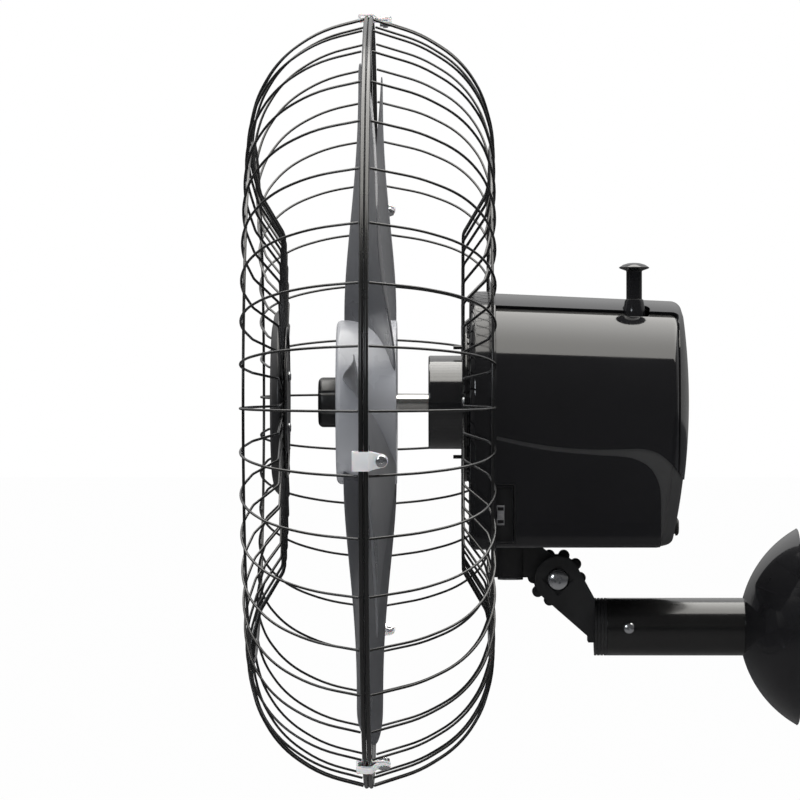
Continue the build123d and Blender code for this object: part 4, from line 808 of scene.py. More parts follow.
def lowered(x, y, z):
    """The place of a point once the top falls towards the back."""
    chosen = settings("head")
    if z > FAN_Z:
        share = min(max((y - COVER_BACK) / (HEAD_BACK - COVER_BACK), 0), 1)
        z = FAN_Z + (z - FAN_Z) * (1 - chosen.top_drop / chosen.radius * share)
    return Vector((x, y, z))


def back_rounding(x, z, outward):
    """Rounding of the back's edge where the head's outline faces a way."""
    chosen = settings("head")
    toward = chosen.back_top_edge if outward.y > 0 else chosen.back_foot_edge
    return chosen.back_edge + (toward - chosen.back_edge) * outward.y ** 2


def head_rows(inset, columns=60, round_steps=7, cap_steps=16):
    """Rows of points from the head's front edge back over its rounded end, an inset inside the surface."""
    outline = head_outline(inset)
    inner = head_outline(inset + 1 * MM)
    sides = []
    for (x, z), (inner_x, inner_z) in zip(outline, inner):
        outward = Vector((x - inner_x, z - inner_z)).normalized()
        edge = back_rounding(x, z, outward)
        start = head_rear(x, z) - inset
        slope = atan2(head_rear(x - outward.x * edge, z - outward.y * edge) - inset - start, edge)
        sides.append((x, z, outward, edge, start + edge * tan(slope) - edge / cos(slope), slope))
    rows = []
    for index in range(columns + 1):
        share = index / columns
        rows.append([lowered(x, COVER_BACK + (level - COVER_BACK) * share, z)
                     for x, z, outward, edge, level, slope in sides])
    for index in range(1, round_steps + 1):
        row = []
        for x, z, outward, edge, level, slope in sides:
            angle = (pi / 2 - slope) * index / round_steps
            drawn = edge * (1 - cos(angle))
            row.append(lowered(x - outward.x * drawn, level + edge * sin(angle), z - outward.y * drawn))
        rows.append(row)
    waist = FAN_Z - 10 * MM
    for index in range(1, cap_steps + 1):
        share = 1 - index / (cap_steps + 0.6)
        row = []
        for point in rows[columns + round_steps]:
            x, z = point.x * share, waist + (point.z - waist) * share
            row.append(Vector((x, head_rear(x, z) - inset, z)))
        rows.append(row)
    return rows


def head_shell(inset=0.0):
    """The head's surface without a front, as a bmesh."""
    verts, faces = skin(head_rows(inset))
    count = len(head_outline(0))
    faces.append(tuple(range(len(verts) - count, len(verts))))
    shape = bmesh.new()
    made = [shape.verts.new(point) for point in verts]
    for face in faces:
        shape.faces.new([made[i] for i in face])
    bmesh.ops.remove_doubles(shape, verts=shape.verts, dist=1e-6)
    bmesh.ops.recalc_face_normals(shape, faces=shape.faces)
    back = max(shape.faces, key=lambda face: face.calc_center_median().y)
    if back.normal.y < 0:
        bmesh.ops.reverse_faces(shape, faces=shape.faces)
    return shape


SWEEP_UPPER = [(0, 86.5), (6, 85.6), (26, 81.2), (52, 77.2), (78, 75.4), (96, 75.4), (108, 75.8), (117, 75.8),
               (124, 74.4), (131, 71.6), (140, 64), (150, 54), (160, 44), (176.8, 28)]
SWEEP_LOWER = [(0, 84), (6, 82.6), (26, 78), (52, 73.6), (82, 71.0), (98, 70.0),
               (107.3, 69), (114.5, 66.8), (120.2, 63.7), (123.8, 60.6), (126.6, 56.7), (129, 51.6),
               (130.4, 47.1), (131.4, 40), (131.6, 25), (131.2, 12), (130.8, 0), (130.4, -20)]


def on_line(table, behind):
    for (x0, z0), (x1, z1) in zip(table, table[1:]):
        if behind <= x1:
            return z0 + (z1 - z0) * (behind - x0) / (x1 - x0)
    return table[-1][1]


def smooth_line(table, steps=4):
    """A smooth curve through a table's points, as a finer table."""
    points = [Vector(point) for point in table]
    fine = []
    for index in range(len(points) - 1):
        before = points[max(index - 1, 0)]
        here, there = points[index], points[index + 1]
        after = points[min(index + 2, len(points) - 1)]
        for part in range(steps):
            t = part / steps
            square, cube = 2 * before - 5 * here + 4 * there - after, 3 * here - before - 3 * there + after
            fine.append(0.5 * ((2 * here) + (there - before) * t + square * t * t + cube * t ** 3))
    fine.append(points[-1])
    return [(point.x, point.y) for point in fine]


def cut_plane(shape, faces, place, normal):
    """Cut some faces of a bmesh along a plane, without removing anything."""
    geometry = list(faces) + list({edge for face in faces for edge in face.edges}) \
        + list({vert for face in faces for vert in face.verts})
    bmesh.ops.bisect_plane(shape, geom=geometry, dist=1e-7, plane_co=place, plane_no=normal)


def cut_table(shape, table):
    """Cut the shell along a side view curve, right through in X."""
    for (behind, up), (behind_next, up_next) in zip(table, table[1:]):
        y, z = COVER_BACK + behind * MM, HEAD_LOW + up * MM
        y_next, z_next = COVER_BACK + behind_next * MM, HEAD_LOW + up_next * MM
        cut_plane(shape, shape.faces[:], (0, y_next, 0), (0, 1, 0))
        low, high = y, y_next
        inside = [face for face in shape.faces if low < face.calc_center_median().y < high]
        way = Vector((0, y_next - y, z_next - z)).normalized()
        cut_plane(shape, inside, (0, y, z), (0, -way.z, way.y))


def part_of_shell(shape, keep, name, thickness, push=0.0):
    """An object from the faces that pass a test, given a wall thickness inwards."""
    chosen = shape.copy()
    gone = [face for face in chosen.faces if not keep(face.calc_center_median())]
    bmesh.ops.delete(chosen, geom=gone, context="FACES")
    if push:
        for vert in chosen.verts:
            vert.co -= vert.normal * push
    thing = object_of(chosen, name)
    wall = thing.modifiers.new("wall", "SOLIDIFY")
    wall.thickness, wall.offset, wall.use_even_offset = thickness, -1, False
    settle(thing)
    return thing


def object_of(shape, name):
    """An object from a bmesh, which is used up."""
    mesh = bpy.data.meshes.new(name)
    shape.to_mesh(mesh)
    shape.free()
    return placed(name, mesh)


def smooth_by(thing, pattern, reach=0.45 * MM):
    """Take the shading of an uncut form wherever the piece's surface is that form's surface."""
    group = thing.vertex_groups.new(name="outer")
    tree = BVHTree.FromObject(pattern, bpy.context.evaluated_depsgraph_get())
    outer = []
    for vert in thing.data.vertices:
        place, normal, _, away = tree.find_nearest(vert.co)
        if away < reach and vert.normal.dot(normal) > 0.85:
            outer.append(vert.index)
    group.add(outer, 1.0, "REPLACE")
    copy = thing.modifiers.new("shading", "DATA_TRANSFER")
    copy.object, copy.use_loop_data, copy.data_types_loops = pattern, True, {"CUSTOM_NORMAL"}
    copy.loop_mapping, copy.vertex_group = "POLYINTERP_NEAREST", "outer"
    settle(thing)
    thing.vertex_groups.clear()


def make_housing():
    """The sides, the strip over the top, the sweep and the dark liner under their seams."""
    chosen = settings("head")
    wall, seam, spine = chosen.wall, chosen.seam, chosen.spine
    shape = head_shell()
    upper, lower = smooth_line(SWEEP_UPPER, 3), smooth_line(SWEEP_LOWER, 3)
    cut_table(shape, upper)
    cut_table(shape, lower)

    def faces_past(axis, least):
        return [face for face in shape.faces if getattr(face.calc_center_median(), axis) > least]

    for x in (spine, spine + seam, -spine, -spine - seam):
        cut_plane(shape, faces_past("z", FAN_Z), (x, 0, 0), (1, 0, 0))
    joint = HEAD_BACK - chosen.back_cover
    spine_end = 122 * MM
    for y in (joint, joint + chosen.back_seam):
        cut_plane(shape, faces_past("z", FAN_Z - 80 * MM), (0, y, 0), (0, 1, 0))
    cut_plane(shape, faces_past("y", joint - 1 * MM), (0, 0, spine_end), (0, 0, 1))

    def in_spine(at):
        return at.z > FAN_Z and abs(at.x) < spine or at.y > joint + chosen.back_seam

    def in_channel(at):
        return not in_spine(at) and (at.z > FAN_Z and abs(at.x) < spine + seam or at.y > joint)

    def in_sweep(at):
        behind, up = (at.y - COVER_BACK) / MM, (at.z - HEAD_LOW) / MM
        return on_line(lower, behind) < up < on_line(upper, behind)

    def spine_part(at):
        return in_spine(at) and not in_sweep(at) and at.z > spine_end - 30 * MM

    spine_cover = part_of_shell(shape, spine_part, "spine_cover_skin", wall, -0.3 * MM)
    sweep = part_of_shell(shape, in_sweep, "swept_trim_skin", wall - 1.2 * MM, chosen.sweep_step)
    sides = part_of_shell(shape, lambda at: not in_sweep(at) and not in_channel(at) and not spine_part(at),
                          "side_housing_skin", wall)
    shape.free()
    pattern = object_of(head_shell(), "pattern")
    pattern.data.shade_smooth()

    inner = object_of(head_shell(2.3 * MM), "liner")
    thick = inner.modifiers.new("wall", "SOLIDIFY")
    thick.thickness, thick.offset = 0.8 * MM, -1
    settle(inner)

    low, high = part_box("knob_collar")
    collar_r = (high.x - low.x) / 2 + 0.1 * MM
    slot_behind, heights = 3.5 * MM, (200 * MM, 300 * MM)
    collar = slab_of([(KNOB_AXIS.x + x, KNOB_AXIS.y + y + (slot_behind if y > 0 else 0))
                      for x, y in circle(collar_r, steps=48)], heights, "XY")
    cut_round = slab_of([(KNOB_AXIS.x + 0.5 * x, KNOB_AXIS.y + y)
                         for x, y in circle(collar_r + 0.3 * MM, steps=48)], heights, "XY")
    carve(spine_cover, collar)
    carve(sides, cut_round)
    carve(inner, collar)
    neck_hole = rod(13.6 * MM, 30 * MM, 70 * MM, (0, middle("pivot_pin").y, 0), "Z", 64)
    gland_hole = rod(5.6 * MM, -200 * MM, 0, (0, 0, middle("cable_gland").z), "Y", 40)
    low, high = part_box("switch_panel")
    edge = 0.05 * MM
    recess = slab_of(box_line(low.y - edge, high.y + edge, low.z - edge, high.z + edge),
                     (low.x, high.x + 20 * MM), "YZ")
    carve(sides, neck_hole, recess)
    carve(inner, neck_hole, recess, gland_hole)
    carve(sweep, gland_hole)
    for thing, width, finish, slot_name, stands_for in (
            (spine_cover, 0.8, "glossy black housing", "black_gloss", ["spine_cover"]),
            (sides, 0.45, "glossy black housing", "black_gloss", ["side_housing"]),
            (sweep, 0.4, "grey sweep", "grey_trim", ["swept_trim"])):
        ease_edges(thing, width * MM, 50, 2)
        dress(thing, "head", finish, stands_for, 40)
        smooth_by(thing, pattern, 0.5 * MM if thing is not sweep else 1.2 * MM)
    discard(pattern)
    dress(inner, "head", "channel black", (), 40)
    inner.name = "head_liner"


PLATE_SCREWS_OUT, BADGE_SCREWS_OUT = 50 * MM, 20 * MM    # out from the fan's axis


def make_front_cover():
    """The cover that carries the guard, with its raised round pad."""
    chosen = settings("head")
    low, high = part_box("front_cover")
    proud = high.x - chosen.radius
    cover_front = span("motor_nose", "Y")[1]
    pad_r, pad_front = 62 * MM, low.y
    edge = 5 * MM
    joint_step = -proud + 0.5 * MM
    rows = [[(x, high.y - ahead, z) for x, z in head_outline(inset)] for inset, ahead in (
        (1.5 * MM, 0), (-proud + 0.4 * MM, 0), (-proud, 0.4 * MM), (-proud, 3.2 * MM),
        (joint_step, 3.6 * MM), (joint_step, 4.2 * MM), (-proud, 4.6 * MM))]
    for index in range(7):
        angle = pi / 2 * index / 6
        inset = -proud + edge * (1 - cos(angle))
        rows.append([(x, cover_front + edge * (1 - sin(angle)), z) for x, z in head_outline(inset)])
    last = rows[-1]
    wall, inner_r = 3.2 * MM, 37 * MM
    for radius, y in ((pad_r + 1 * MM, cover_front), (pad_r, cover_front - 0.6 * MM),
                      (pad_r - 0.5 * MM, pad_front), (inner_r, pad_front), (inner_r, cover_front + wall),
                      (pad_r - 3 * MM, cover_front + wall)):
        row = []
        for x, _, z in last:
            way = Vector((x, z - FAN_Z)).normalized()
            row.append((way.x * radius, y, FAN_Z + way.y * radius))
        rows.append(row)
    for inset, y in ((3.4 * MM, cover_front + wall), (1.5 * MM, cover_front + wall + 1.9 * MM)):
        rows.append([(x, y, z) for x, z in head_outline(inset)])
    thing = raw("front_cover_skin", skin(rows, closed_ends=True))
    holes = []
    for turn in range(4):
        hole = rod(2.1 * MM, -270 * MM, -250 * MM, (PLATE_SCREWS_OUT, 0, FAN_Z), "Y", 20)
        holes.append(moved(hole, about_fan(turn * pi / 2)))
    carve(thing, *holes)
    dress(thing, "head", "glossy black housing", ["front_cover"], 38)


def make_nose():
    low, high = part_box("motor_nose")
    radius, wall = high.x, 3.5 * MM
    profile = rounded([(7.25 * MM, low.y, 0.3 * MM), (12 * MM, low.y, 0), (12.6 * MM, low.y + 0.7 * MM, 0),
                       (radius - 9 * MM, low.y + 0.7 * MM, 0), (radius - 8 * MM, low.y, 0),
                       (radius, low.y, 1.4 * MM), (radius, high.y, 0), (radius - wall, high.y, 0),
                       (radius - wall, low.y + wall, 0), (14.5 * MM, low.y + wall, 0),
                       (14.5 * MM, low.y + 11.5 * MM, 0), (11 * MM, low.y + 11.5 * MM, 0),
                       (11 * MM, low.y + wall, 0), (7.25 * MM, low.y + wall, 0)], closed=True)
    thing = raw("motor_nose_skin", lathe(profile, FAN_CENTRE, steps=128))
    dress(thing, "head", "nose black", ["motor_nose"], 35)


def make_pull_knob():
    low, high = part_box("pull_knob")
    head_r = (high.x - low.x) / 2
    stem_r, centre = 6.1 * MM, (KNOB_AXIS.x, KNOB_AXIS.y, 0)
    collar_low, collar_top = span("knob_collar", "Z")
    top = high.z
    profile = [(0, low.z)] + rounded([
        (stem_r - 0.6 * MM, low.z, 0), (stem_r, low.z + 0.6 * MM, 0), (stem_r, collar_top - 12 * MM, 0),
        (stem_r, top - 6.2 * MM, 1.0 * MM), (head_r - 0.9 * MM, top - 4.4 * MM, 1.0 * MM),
        (head_r, top - 3.6 * MM, 0.5 * MM), (head_r - 3.6 * MM, top - 1.35 * MM, 4 * MM),
        (head_r - 7.4 * MM, top - 0.25 * MM, 6 * MM), (2 * MM, top, 0)], steps=8) + [(0, top)]
    knob = raw("pull_knob_skin", lathe(profile, centre, "Z", 72))
    dress(knob, "pull_knob_body", "glossy black housing", ["pull_knob"], 40)

    outer, inner = (span("knob_collar", "X")[1] - span("knob_collar", "X")[0]) / 2, stem_r + 0.3 * MM
    profile = rounded([(inner, collar_low, 0), (outer, collar_low, 0), (outer, collar_top - 9 * MM, 6 * MM),
                       (inner + 1.0 * MM, collar_top - 1.6 * MM, 8 * MM),
                       (inner + 0.5 * MM, collar_top, 0.2 * MM), (inner, collar_top, 0)], closed=True, steps=8)
    collar = raw("knob_collar_skin", lathe(profile, centre, "Z", 72))
    dress(collar, "head", "glossy black housing", ["knob_collar"], 40)


def make_switch():
    """The recess with its lip, the pale plate with a slot, and the slider whose stem runs in it."""
    eased_copy("switch_panel", "switch_panel_skin", 0.7 * MM, "head", "satin black plastic")
    low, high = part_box("switch_slider")
    centre, floor = (low + high) / 2, low.x - 0.15 * MM
    panel_low, panel_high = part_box("switch_panel")
    half = 7.6 * MM
    outline = box_line(panel_low.y + 1.4 * MM, centre.y + 5.4 * MM, centre.z - half, centre.z + half, 1.2 * MM)
    plate = raw("switch_plate", slab_of(outline, (floor, floor + 1.0 * MM), "YZ"))
    stem_wide, stem_tall, travel = (high.y - low.y) / 2 - 0.4 * MM, 0.9 * MM, 5 * MM
    wide, tall = stem_wide + 0.2 * MM, stem_tall + travel + 0.2 * MM
    carve(plate, slab_of(box_line(centre.y - wide, centre.y + wide, centre.z - tall, centre.z + tall),
                         (floor - 1 * MM, floor + 3 * MM), "YZ"))
    ease_edges(plate, 0.3 * MM, 40, 2)
    dress(plate, "head", "slider grey", (), 35)

    lip = 1.3 * MM
    sides = (panel_low.y + 0.3 * MM, panel_high.y - 1.6 * MM, panel_low.z + 0.5 * MM, panel_high.z - 1.4 * MM)
    frame_lip = raw("switch_lip", slab_of(box_line(*sides), (floor, panel_high.x + 0.1 * MM), "YZ"))
    ease_edges(frame_lip, 0.9 * MM, 40, 1)
    carve(frame_lip, slab_of(box_line(sides[0] + lip, sides[1] - lip, sides[2] + lip, sides[3] - lip),
                             (floor - 1 * MM, panel_high.x + 2 * MM), "YZ"))
    dress(frame_lip, "head", "glossy black housing", (), 30)
    body = slab_of(box_line(low.y, high.y, low.z, high.z), (floor + 1.15 * MM, high.x), "YZ")
    slider = raw("switch_slider_skin", body)
    ribs = []
    for step in (-2, -1, 0, 1, 2):
        z = (low.z + high.z) / 2 + step * (high.z - low.z) / 5.4
        ribs.append(slab_of([(high.x - 0.7 * MM, z - 0.3 * MM), (high.x + 1 * MM, z - 0.5 * MM),
                             (high.x + 1 * MM, z + 0.5 * MM), (high.x - 0.7 * MM, z + 0.3 * MM)],
                            (low.y - 1 * MM, high.y + 1 * MM), "XZ"))
    carve(slider, *ribs)
    stem = slab_of(box_line(centre.y - stem_wide, centre.y + stem_wide,
                            centre.z - stem_tall, centre.z + stem_tall), (low.x, floor + 1.5 * MM), "YZ")
    carve(slider, stem, mode="UNION")
    ease_edges(slider, 0.2 * MM, 40, 2)
    dress(slider, "slider", "slider grey", ["switch_slider"], 35)


def make_head_trim():
    chosen = settings("wall_end")
    eased_copy("base_plate", "base_plate_skin", 0.9 * MM, "head", "satin black plastic")
    low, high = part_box("cable_gland")
    radius, centre = high.x, (0, 0, (low.z + high.z) / 2)
    back = head_rear(0, centre[2])
    profile = rounded([(3.6 * MM, low.y, 0), (radius, low.y, 0), (radius, back - 0.5 * MM, 0),
                       (radius + 1.3 * MM, back - 0.5 * MM, 0),
                       (radius + 1.3 * MM, back + 1.2 * MM, 0.6 * MM),
                       (radius - 0.6 * MM, back + 2.2 * MM, 0.5 * MM),
                       (3.6 * MM, back + 2.2 * MM, 0.5 * MM)], closed=True)
    gland = raw("cable_gland_skin", lathe(profile, centre, "Y", 48))
    dress(gland, "head", "black rubber", ["cable_gland"], 35)


# ---- Fan ----

BLADE_TABLE = [(54, 80, 30, 5), (100, 114, 18, 7), (150, 151, 9.5, 6), (210, 198, 5, 4.5),
               (270, 246, 3.8, 3.5)]    # distance out in millimetres, chord, pitch in degrees, camber
BLADE_BEHIND = 0.5 * MM
FIRST_BLADE = radians(-89)


def blade_at(out):
    """Chord, pitch and camber at a distance along the blade's middle, on a smooth curve through the table."""
    points = BLADE_TABLE
    x = out / MM
    total = [0.0, 0.0, 0.0]
    for i, row in enumerate(points):
        share = 1.0
        for j, other in enumerate(points):
            if i != j:
                share *= (x - other[0]) / (row[0] - other[0])
        for k in range(3):
            total[k] += share * row[k + 1]
    return total[0] * MM, radians(total[1]), total[2] * MM


def blade_edge(radius):
    """Angle from the blade's middle to its edge, where that is at a radius."""
    out = radius
    for _ in range(12):
        chord, pitch, _ = blade_at(out)
        half = chord / 2 * cos(pitch)
        out = sqrt(radius ** 2 - half ** 2)
    return asin(half / radius)


def blade_point(radius, angle, lift):
    """A point of the blade at 0 degrees, lifted off its middle surface."""
    out, aside = radius * cos(angle), radius * sin(angle)
    chord, pitch, camber = blade_at(out)
    rise = 0.0
    for _ in range(6):
        along = (aside + rise * sin(pitch)) / cos(pitch)
        rise = -camber * (1 - (2 * along / chord) ** 2)
    rise += lift
    return Vector((out, RIM_Y + BLADE_BEHIND - along * sin(pitch) - rise * cos(pitch), FAN_Z + aside))


def blade_shape():
    chosen = settings("fan")
    half, tip = chosen.blade_thickness / 2, chosen.tip_radius
    start, corner = chosen.hub_radius - 4 * MM, chosen.tip_corner
    rows, stations, wide = [], 44, 30
    for index in range(stations + 1):
        share = index / stations
        radius = start + (tip - start) * (1 - (1 - share) ** 1.4)
        drawn = corner - sqrt(max(corner ** 2 - max(corner - (tip - radius), 0) ** 2, 0))
        limit = blade_edge(radius) - drawn / radius
        thin = half * (1 - 0.45 * share)
        row = []
        for step in range(wide + 1):
            across = -cos(pi * step / wide)
            edge = sqrt(max(1 - abs(across) ** 16, 0))
            row.append(blade_point(radius, across * limit, thin * edge))
        for step in range(1, wide):
            across = cos(pi * step / wide)
            edge = sqrt(max(1 - abs(across) ** 16, 0))
            row.append(blade_point(radius, across * limit, -thin * edge))
        rows.append(row)
    verts, faces = skin(rows)
    last = len(verts) - len(rows[0])
    return verts, faces + section_cap(0, wide) + [face[::-1] for face in section_cap(last, wide)]


def section_cap(first, wide):
    """Faces that close a blade's section, from its front side straight across to its back."""
    back = [first] + [first + 2 * wide - step for step in range(1, wide)] + [first + wide]
    return [tuple(dict.fromkeys((first + step, first + step + 1, back[step + 1], back[step])))
            for step in range(wide)]


def make_fan():
    """The hub with its ribs and blades, as one moulding."""
    chosen = settings("fan")
    radius, wall = chosen.hub_radius, 3 * MM
    front, back = HUB_FRONT, HUB_FRONT + 46.9 * MM
    inner = radius - wall
    profile = [(0, front + 1.2 * MM)] + rounded([
        (20 * MM, front + 1.2 * MM, 0), (radius - 13 * MM, front + 1.2 * MM, 1 * MM),
        (radius - 11.5 * MM, front, 0.8 * MM), (radius, front, 4 * MM), (radius, back - 0.6 * MM, 0),
        (radius - 0.6 * MM, back, 0), (inner, back, 0.3 * MM), (inner, front + 3 * MM, 2 * MM),
        (13 * MM, front + 3.4 * MM, 1 * MM), (13 * MM, back - 0.5 * MM, 0.3 * MM),
        (6.3 * MM, back - 0.5 * MM, 0.3 * MM), (6.3 * MM, front + 2.2 * MM, 0)]) + [(0, front + 2.2 * MM)]
    hub = raw("fan_hub", lathe(profile, FAN_CENTRE, steps=144))
    turns = [FIRST_BLADE + 2 * pi * i / chosen.blades for i in range(chosen.blades)]
    blades = around("fan_blades", blade_shape(), turns, "blade grey")
    rib = slab_of(rounded([(12.5 * MM, front + 3 * MM, 0), (inner + 0.5 * MM, front + 3 * MM, 0),
                           (inner + 0.5 * MM, back - 12 * MM, 0), (12.5 * MM, back - 6 * MM, 0)], closed=True),
                  (FAN_Z - 1 * MM, FAN_Z + 1 * MM), "XY")
    ribs = around("fan_ribs", rib, [radians(15 + 60 * i) for i in range(6)], "blade grey")
    for thing in (blades, ribs):
        join = hub.modifiers.new("join", "BOOLEAN")
        join.operation, join.object, join.solver = "UNION", thing, "EXACT"
    settle(hub)
    discard(blades, ribs)
    tidy_mesh(hub.data)
    hub.name = "fan_moulding"
    dress(hub, "rotor", "blade grey", ["fan_blade"], 38)


def make_fixing_knob():
    low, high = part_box("fixing_knob")
    radius = (high.z - low.z) / 2
    profile = [(0, low.y + 0.8 * MM)] + rounded([
        (radius - 8 * MM, low.y + 0.8 * MM, 0.5 * MM), (radius - 7 * MM, low.y, 0.5 * MM),
        (radius, low.y, 4 * MM),
        (radius, high.y, 0), (6.3 * MM, high.y, 0), (6.3 * MM, high.y - 8 * MM, 0)]) + [(0, high.y - 8 * MM)]
    knob = raw("fixing_knob_skin", lathe(profile, FAN_CENTRE, steps=96))
    flute = rod(1.8 * MM, low.y - 1 * MM, high.y - 1.2 * MM, (radius + 0.8 * MM, 0, FAN_Z))
    carve(knob, *[moved(flute, about_fan(radians(22.5 + 45 * i))) for i in range(8)])
    ease_edges(knob, 0.4 * MM, 45, 2)
    dress(knob, "rotor", "satin black plastic", ["fixing_knob"], 38)

    low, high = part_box("motor_shaft")
    shaft_r = (high.z - low.z) / 2
    ease = 0.5 * MM
    profile = [(0, low.y), (shaft_r - ease, low.y), (shaft_r, low.y + ease), (shaft_r, high.y - ease),
               (shaft_r - ease, high.y), (0, high.y)]
    shaft = raw("motor_shaft_skin", lathe(profile, FAN_CENTRE, steps=64))
    dress(shaft, "rotor", "turned shaft", ["motor_shaft"], 35)


# ---- Guard ----

FRONT_CORNERS = [(0.938, 38, 95), (0.808, 70, 80), (0.639, 86, 75), (0.42, 95.6, 95), (0.183, 85, 15)]
REAR_CORNERS = [(0.921, 40, 95), (0.802, 72, 80), (0.642, 88, 75), (0.42, 99, 95), (0.183, 91, 15)]
FLAT_CORNER_R, FLAT_BEND_R, WIRE_START, FRONT_FLAT = 132.0, 10.0, 4.0, 66.7


def wire_points(side, corners, flat, end_r):
    """Centre line of a guard wire at 0 degrees, in front of the rim plane or behind it."""
    chosen = settings("guard")
    radius = chosen.radius / MM
    start = radius - chosen.rim_wire / MM
    out = radius - FLAT_CORNER_R
    turns = [(FLAT_CORNER_R + share * out, deep, bend) for share, deep, bend in corners]
    turns.append((FLAT_CORNER_R, flat, FLAT_BEND_R))
    line = rounded([(start, WIRE_START, 0)] + turns + [(end_r, flat, 0)], steps=22)
    return [(r * MM, RIM_Y + side * deep * MM, FAN_Z) for r, deep in line]


def ring_points(radius, y, steps=220):
    return [(x, y, z) for x, z in circle(radius, (0.0, FAN_Z), steps)]


def make_guard_half(name, side, corners, flat, end_r):
    chosen = settings("guard")
    points = wire_points(side, corners, flat, end_r)
    source = path_object("path", points)
    paint = finish_of("wire enamel")
    grow(source, round_bar_tree, Bar_radius=chosen.wire, Sides=10, Material=paint)
    turns = [chosen.first_wire + 2 * pi * i / chosen.wires for i in range(chosen.wires)]
    wires = seats_object(name + "_wires", [(0, 0, 0)] * len(turns), turns)
    grow(wires, turned_copies_tree, Piece=source, Axis_height=FAN_Z, Material=paint)
    discard(source)
    dress(wires, "head", "wire enamel", [name + "_guard_wires"], 50)
    return points


def make_ring(name, radius, y, wire_r, stands_for=()):
    ring = path_object(name, ring_points(radius, y), closed=True)
    grow(ring, round_bar_tree, Bar_radius=wire_r, Sides=12, Material=finish_of("wire enamel"))
    return dress(ring, "head", "wire enamel", stands_for, 60)


def make_guard():
    chosen = settings("guard")
    plate_front = span("guard_plate", "Y")[1] - 2 * MM
    rear_flat = (plate_front - RIM_Y) / MM - chosen.wire / MM - 0.05
    front_points = make_guard_half("front", -1, FRONT_CORNERS, FRONT_FLAT, 32.0)
    rear_points = make_guard_half("rear", 1, REAR_CORNERS, rear_flat, 57.5)
    rim_r = chosen.radius - chosen.rim_wire
    for name, side in (("front", -1), ("rear", 1)):
        make_ring(name + "_rim", rim_r, RIM_Y + side * (chosen.rim_wire + 0.05 * MM), chosen.rim_wire,
                  [name + "_rim_ring"])
    inward = chosen.wire + chosen.ridge_wire + 0.05 * MM
    for name, side, points in (("front", -1, front_points), ("rear", 1, rear_points)):
        peak = max(points, key=lambda point: side * point[1])
        make_ring(name + "_ridge", peak[0], peak[1] - side * inward, chosen.ridge_wire,
                  ["front_mid_rings" if name == "front" else "rear_mid_ring"])
    make_ring("front_centre", 58 * MM, RIM_Y - FRONT_FLAT * MM + inward, chosen.ridge_wire, ["front_mid_rings"])


def make_badge():
    """Plain cap and clamping disc in the middle of the front guard."""
    low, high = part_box("front_badge")
    radius, front, back = high.x, low.y, high.y
    wall = 2 * MM
    inside = front + wall
    profile = [(0, front)] + rounded([
        (radius - 20 * MM, front, 1 * MM), (radius - 14 * MM, front + 0.3 * MM, 6 * MM),
        (radius - 4 * MM, front + 2.2 * MM, 5 * MM), (radius, front + 6 * MM, 2 * MM), (radius, back, 0.3 * MM),
        (radius - wall, back, 0.3 * MM), (radius - wall, front + 6.6 * MM, 1 * MM),
        (radius - 6 * MM, front + 4 * MM, 3 * MM), (radius - 15 * MM, inside, 3 * MM)]) + [(0, inside)]
    cap = raw("front_badge_skin", lathe(profile, FAN_CENTRE, steps=144))
    groove = lathe([(46 * MM, front - 1 * MM), (47.2 * MM, front - 1 * MM), (47.0 * MM, front + 0.5 * MM),
                    (46.2 * MM, front + 0.5 * MM)], FAN_CENTRE, "Y", 144)
    carve(cap, groove)
    bosses = []
    for turn in (pi / 2, 3 * pi / 2):
        boss = lathe([(1.5 * MM, front + 4 * MM), (1.5 * MM, back), (4.5 * MM, back),
                      (4.5 * MM, front + 1.5 * MM), (1.5 * MM, front + 1.5 * MM)],
                     (BADGE_SCREWS_OUT, 0, FAN_Z), "Y", 32)
        bosses.append(moved(boss, about_fan(turn)))
    carve(cap, *bosses, mode="UNION")
    dress(cap, "head", "satin black plastic", ["front_badge"], 38)
    eased_copy("badge_back", "badge_back_skin", 0.4 * MM, "head", "satin black plastic")
    eased_copy("guard_plate", "guard_plate_skin", 0.3 * MM, "head", "black enamel")


CLIP_DEGREES = [-8.1, 84.3, 147.3, 219.3, 292.8]


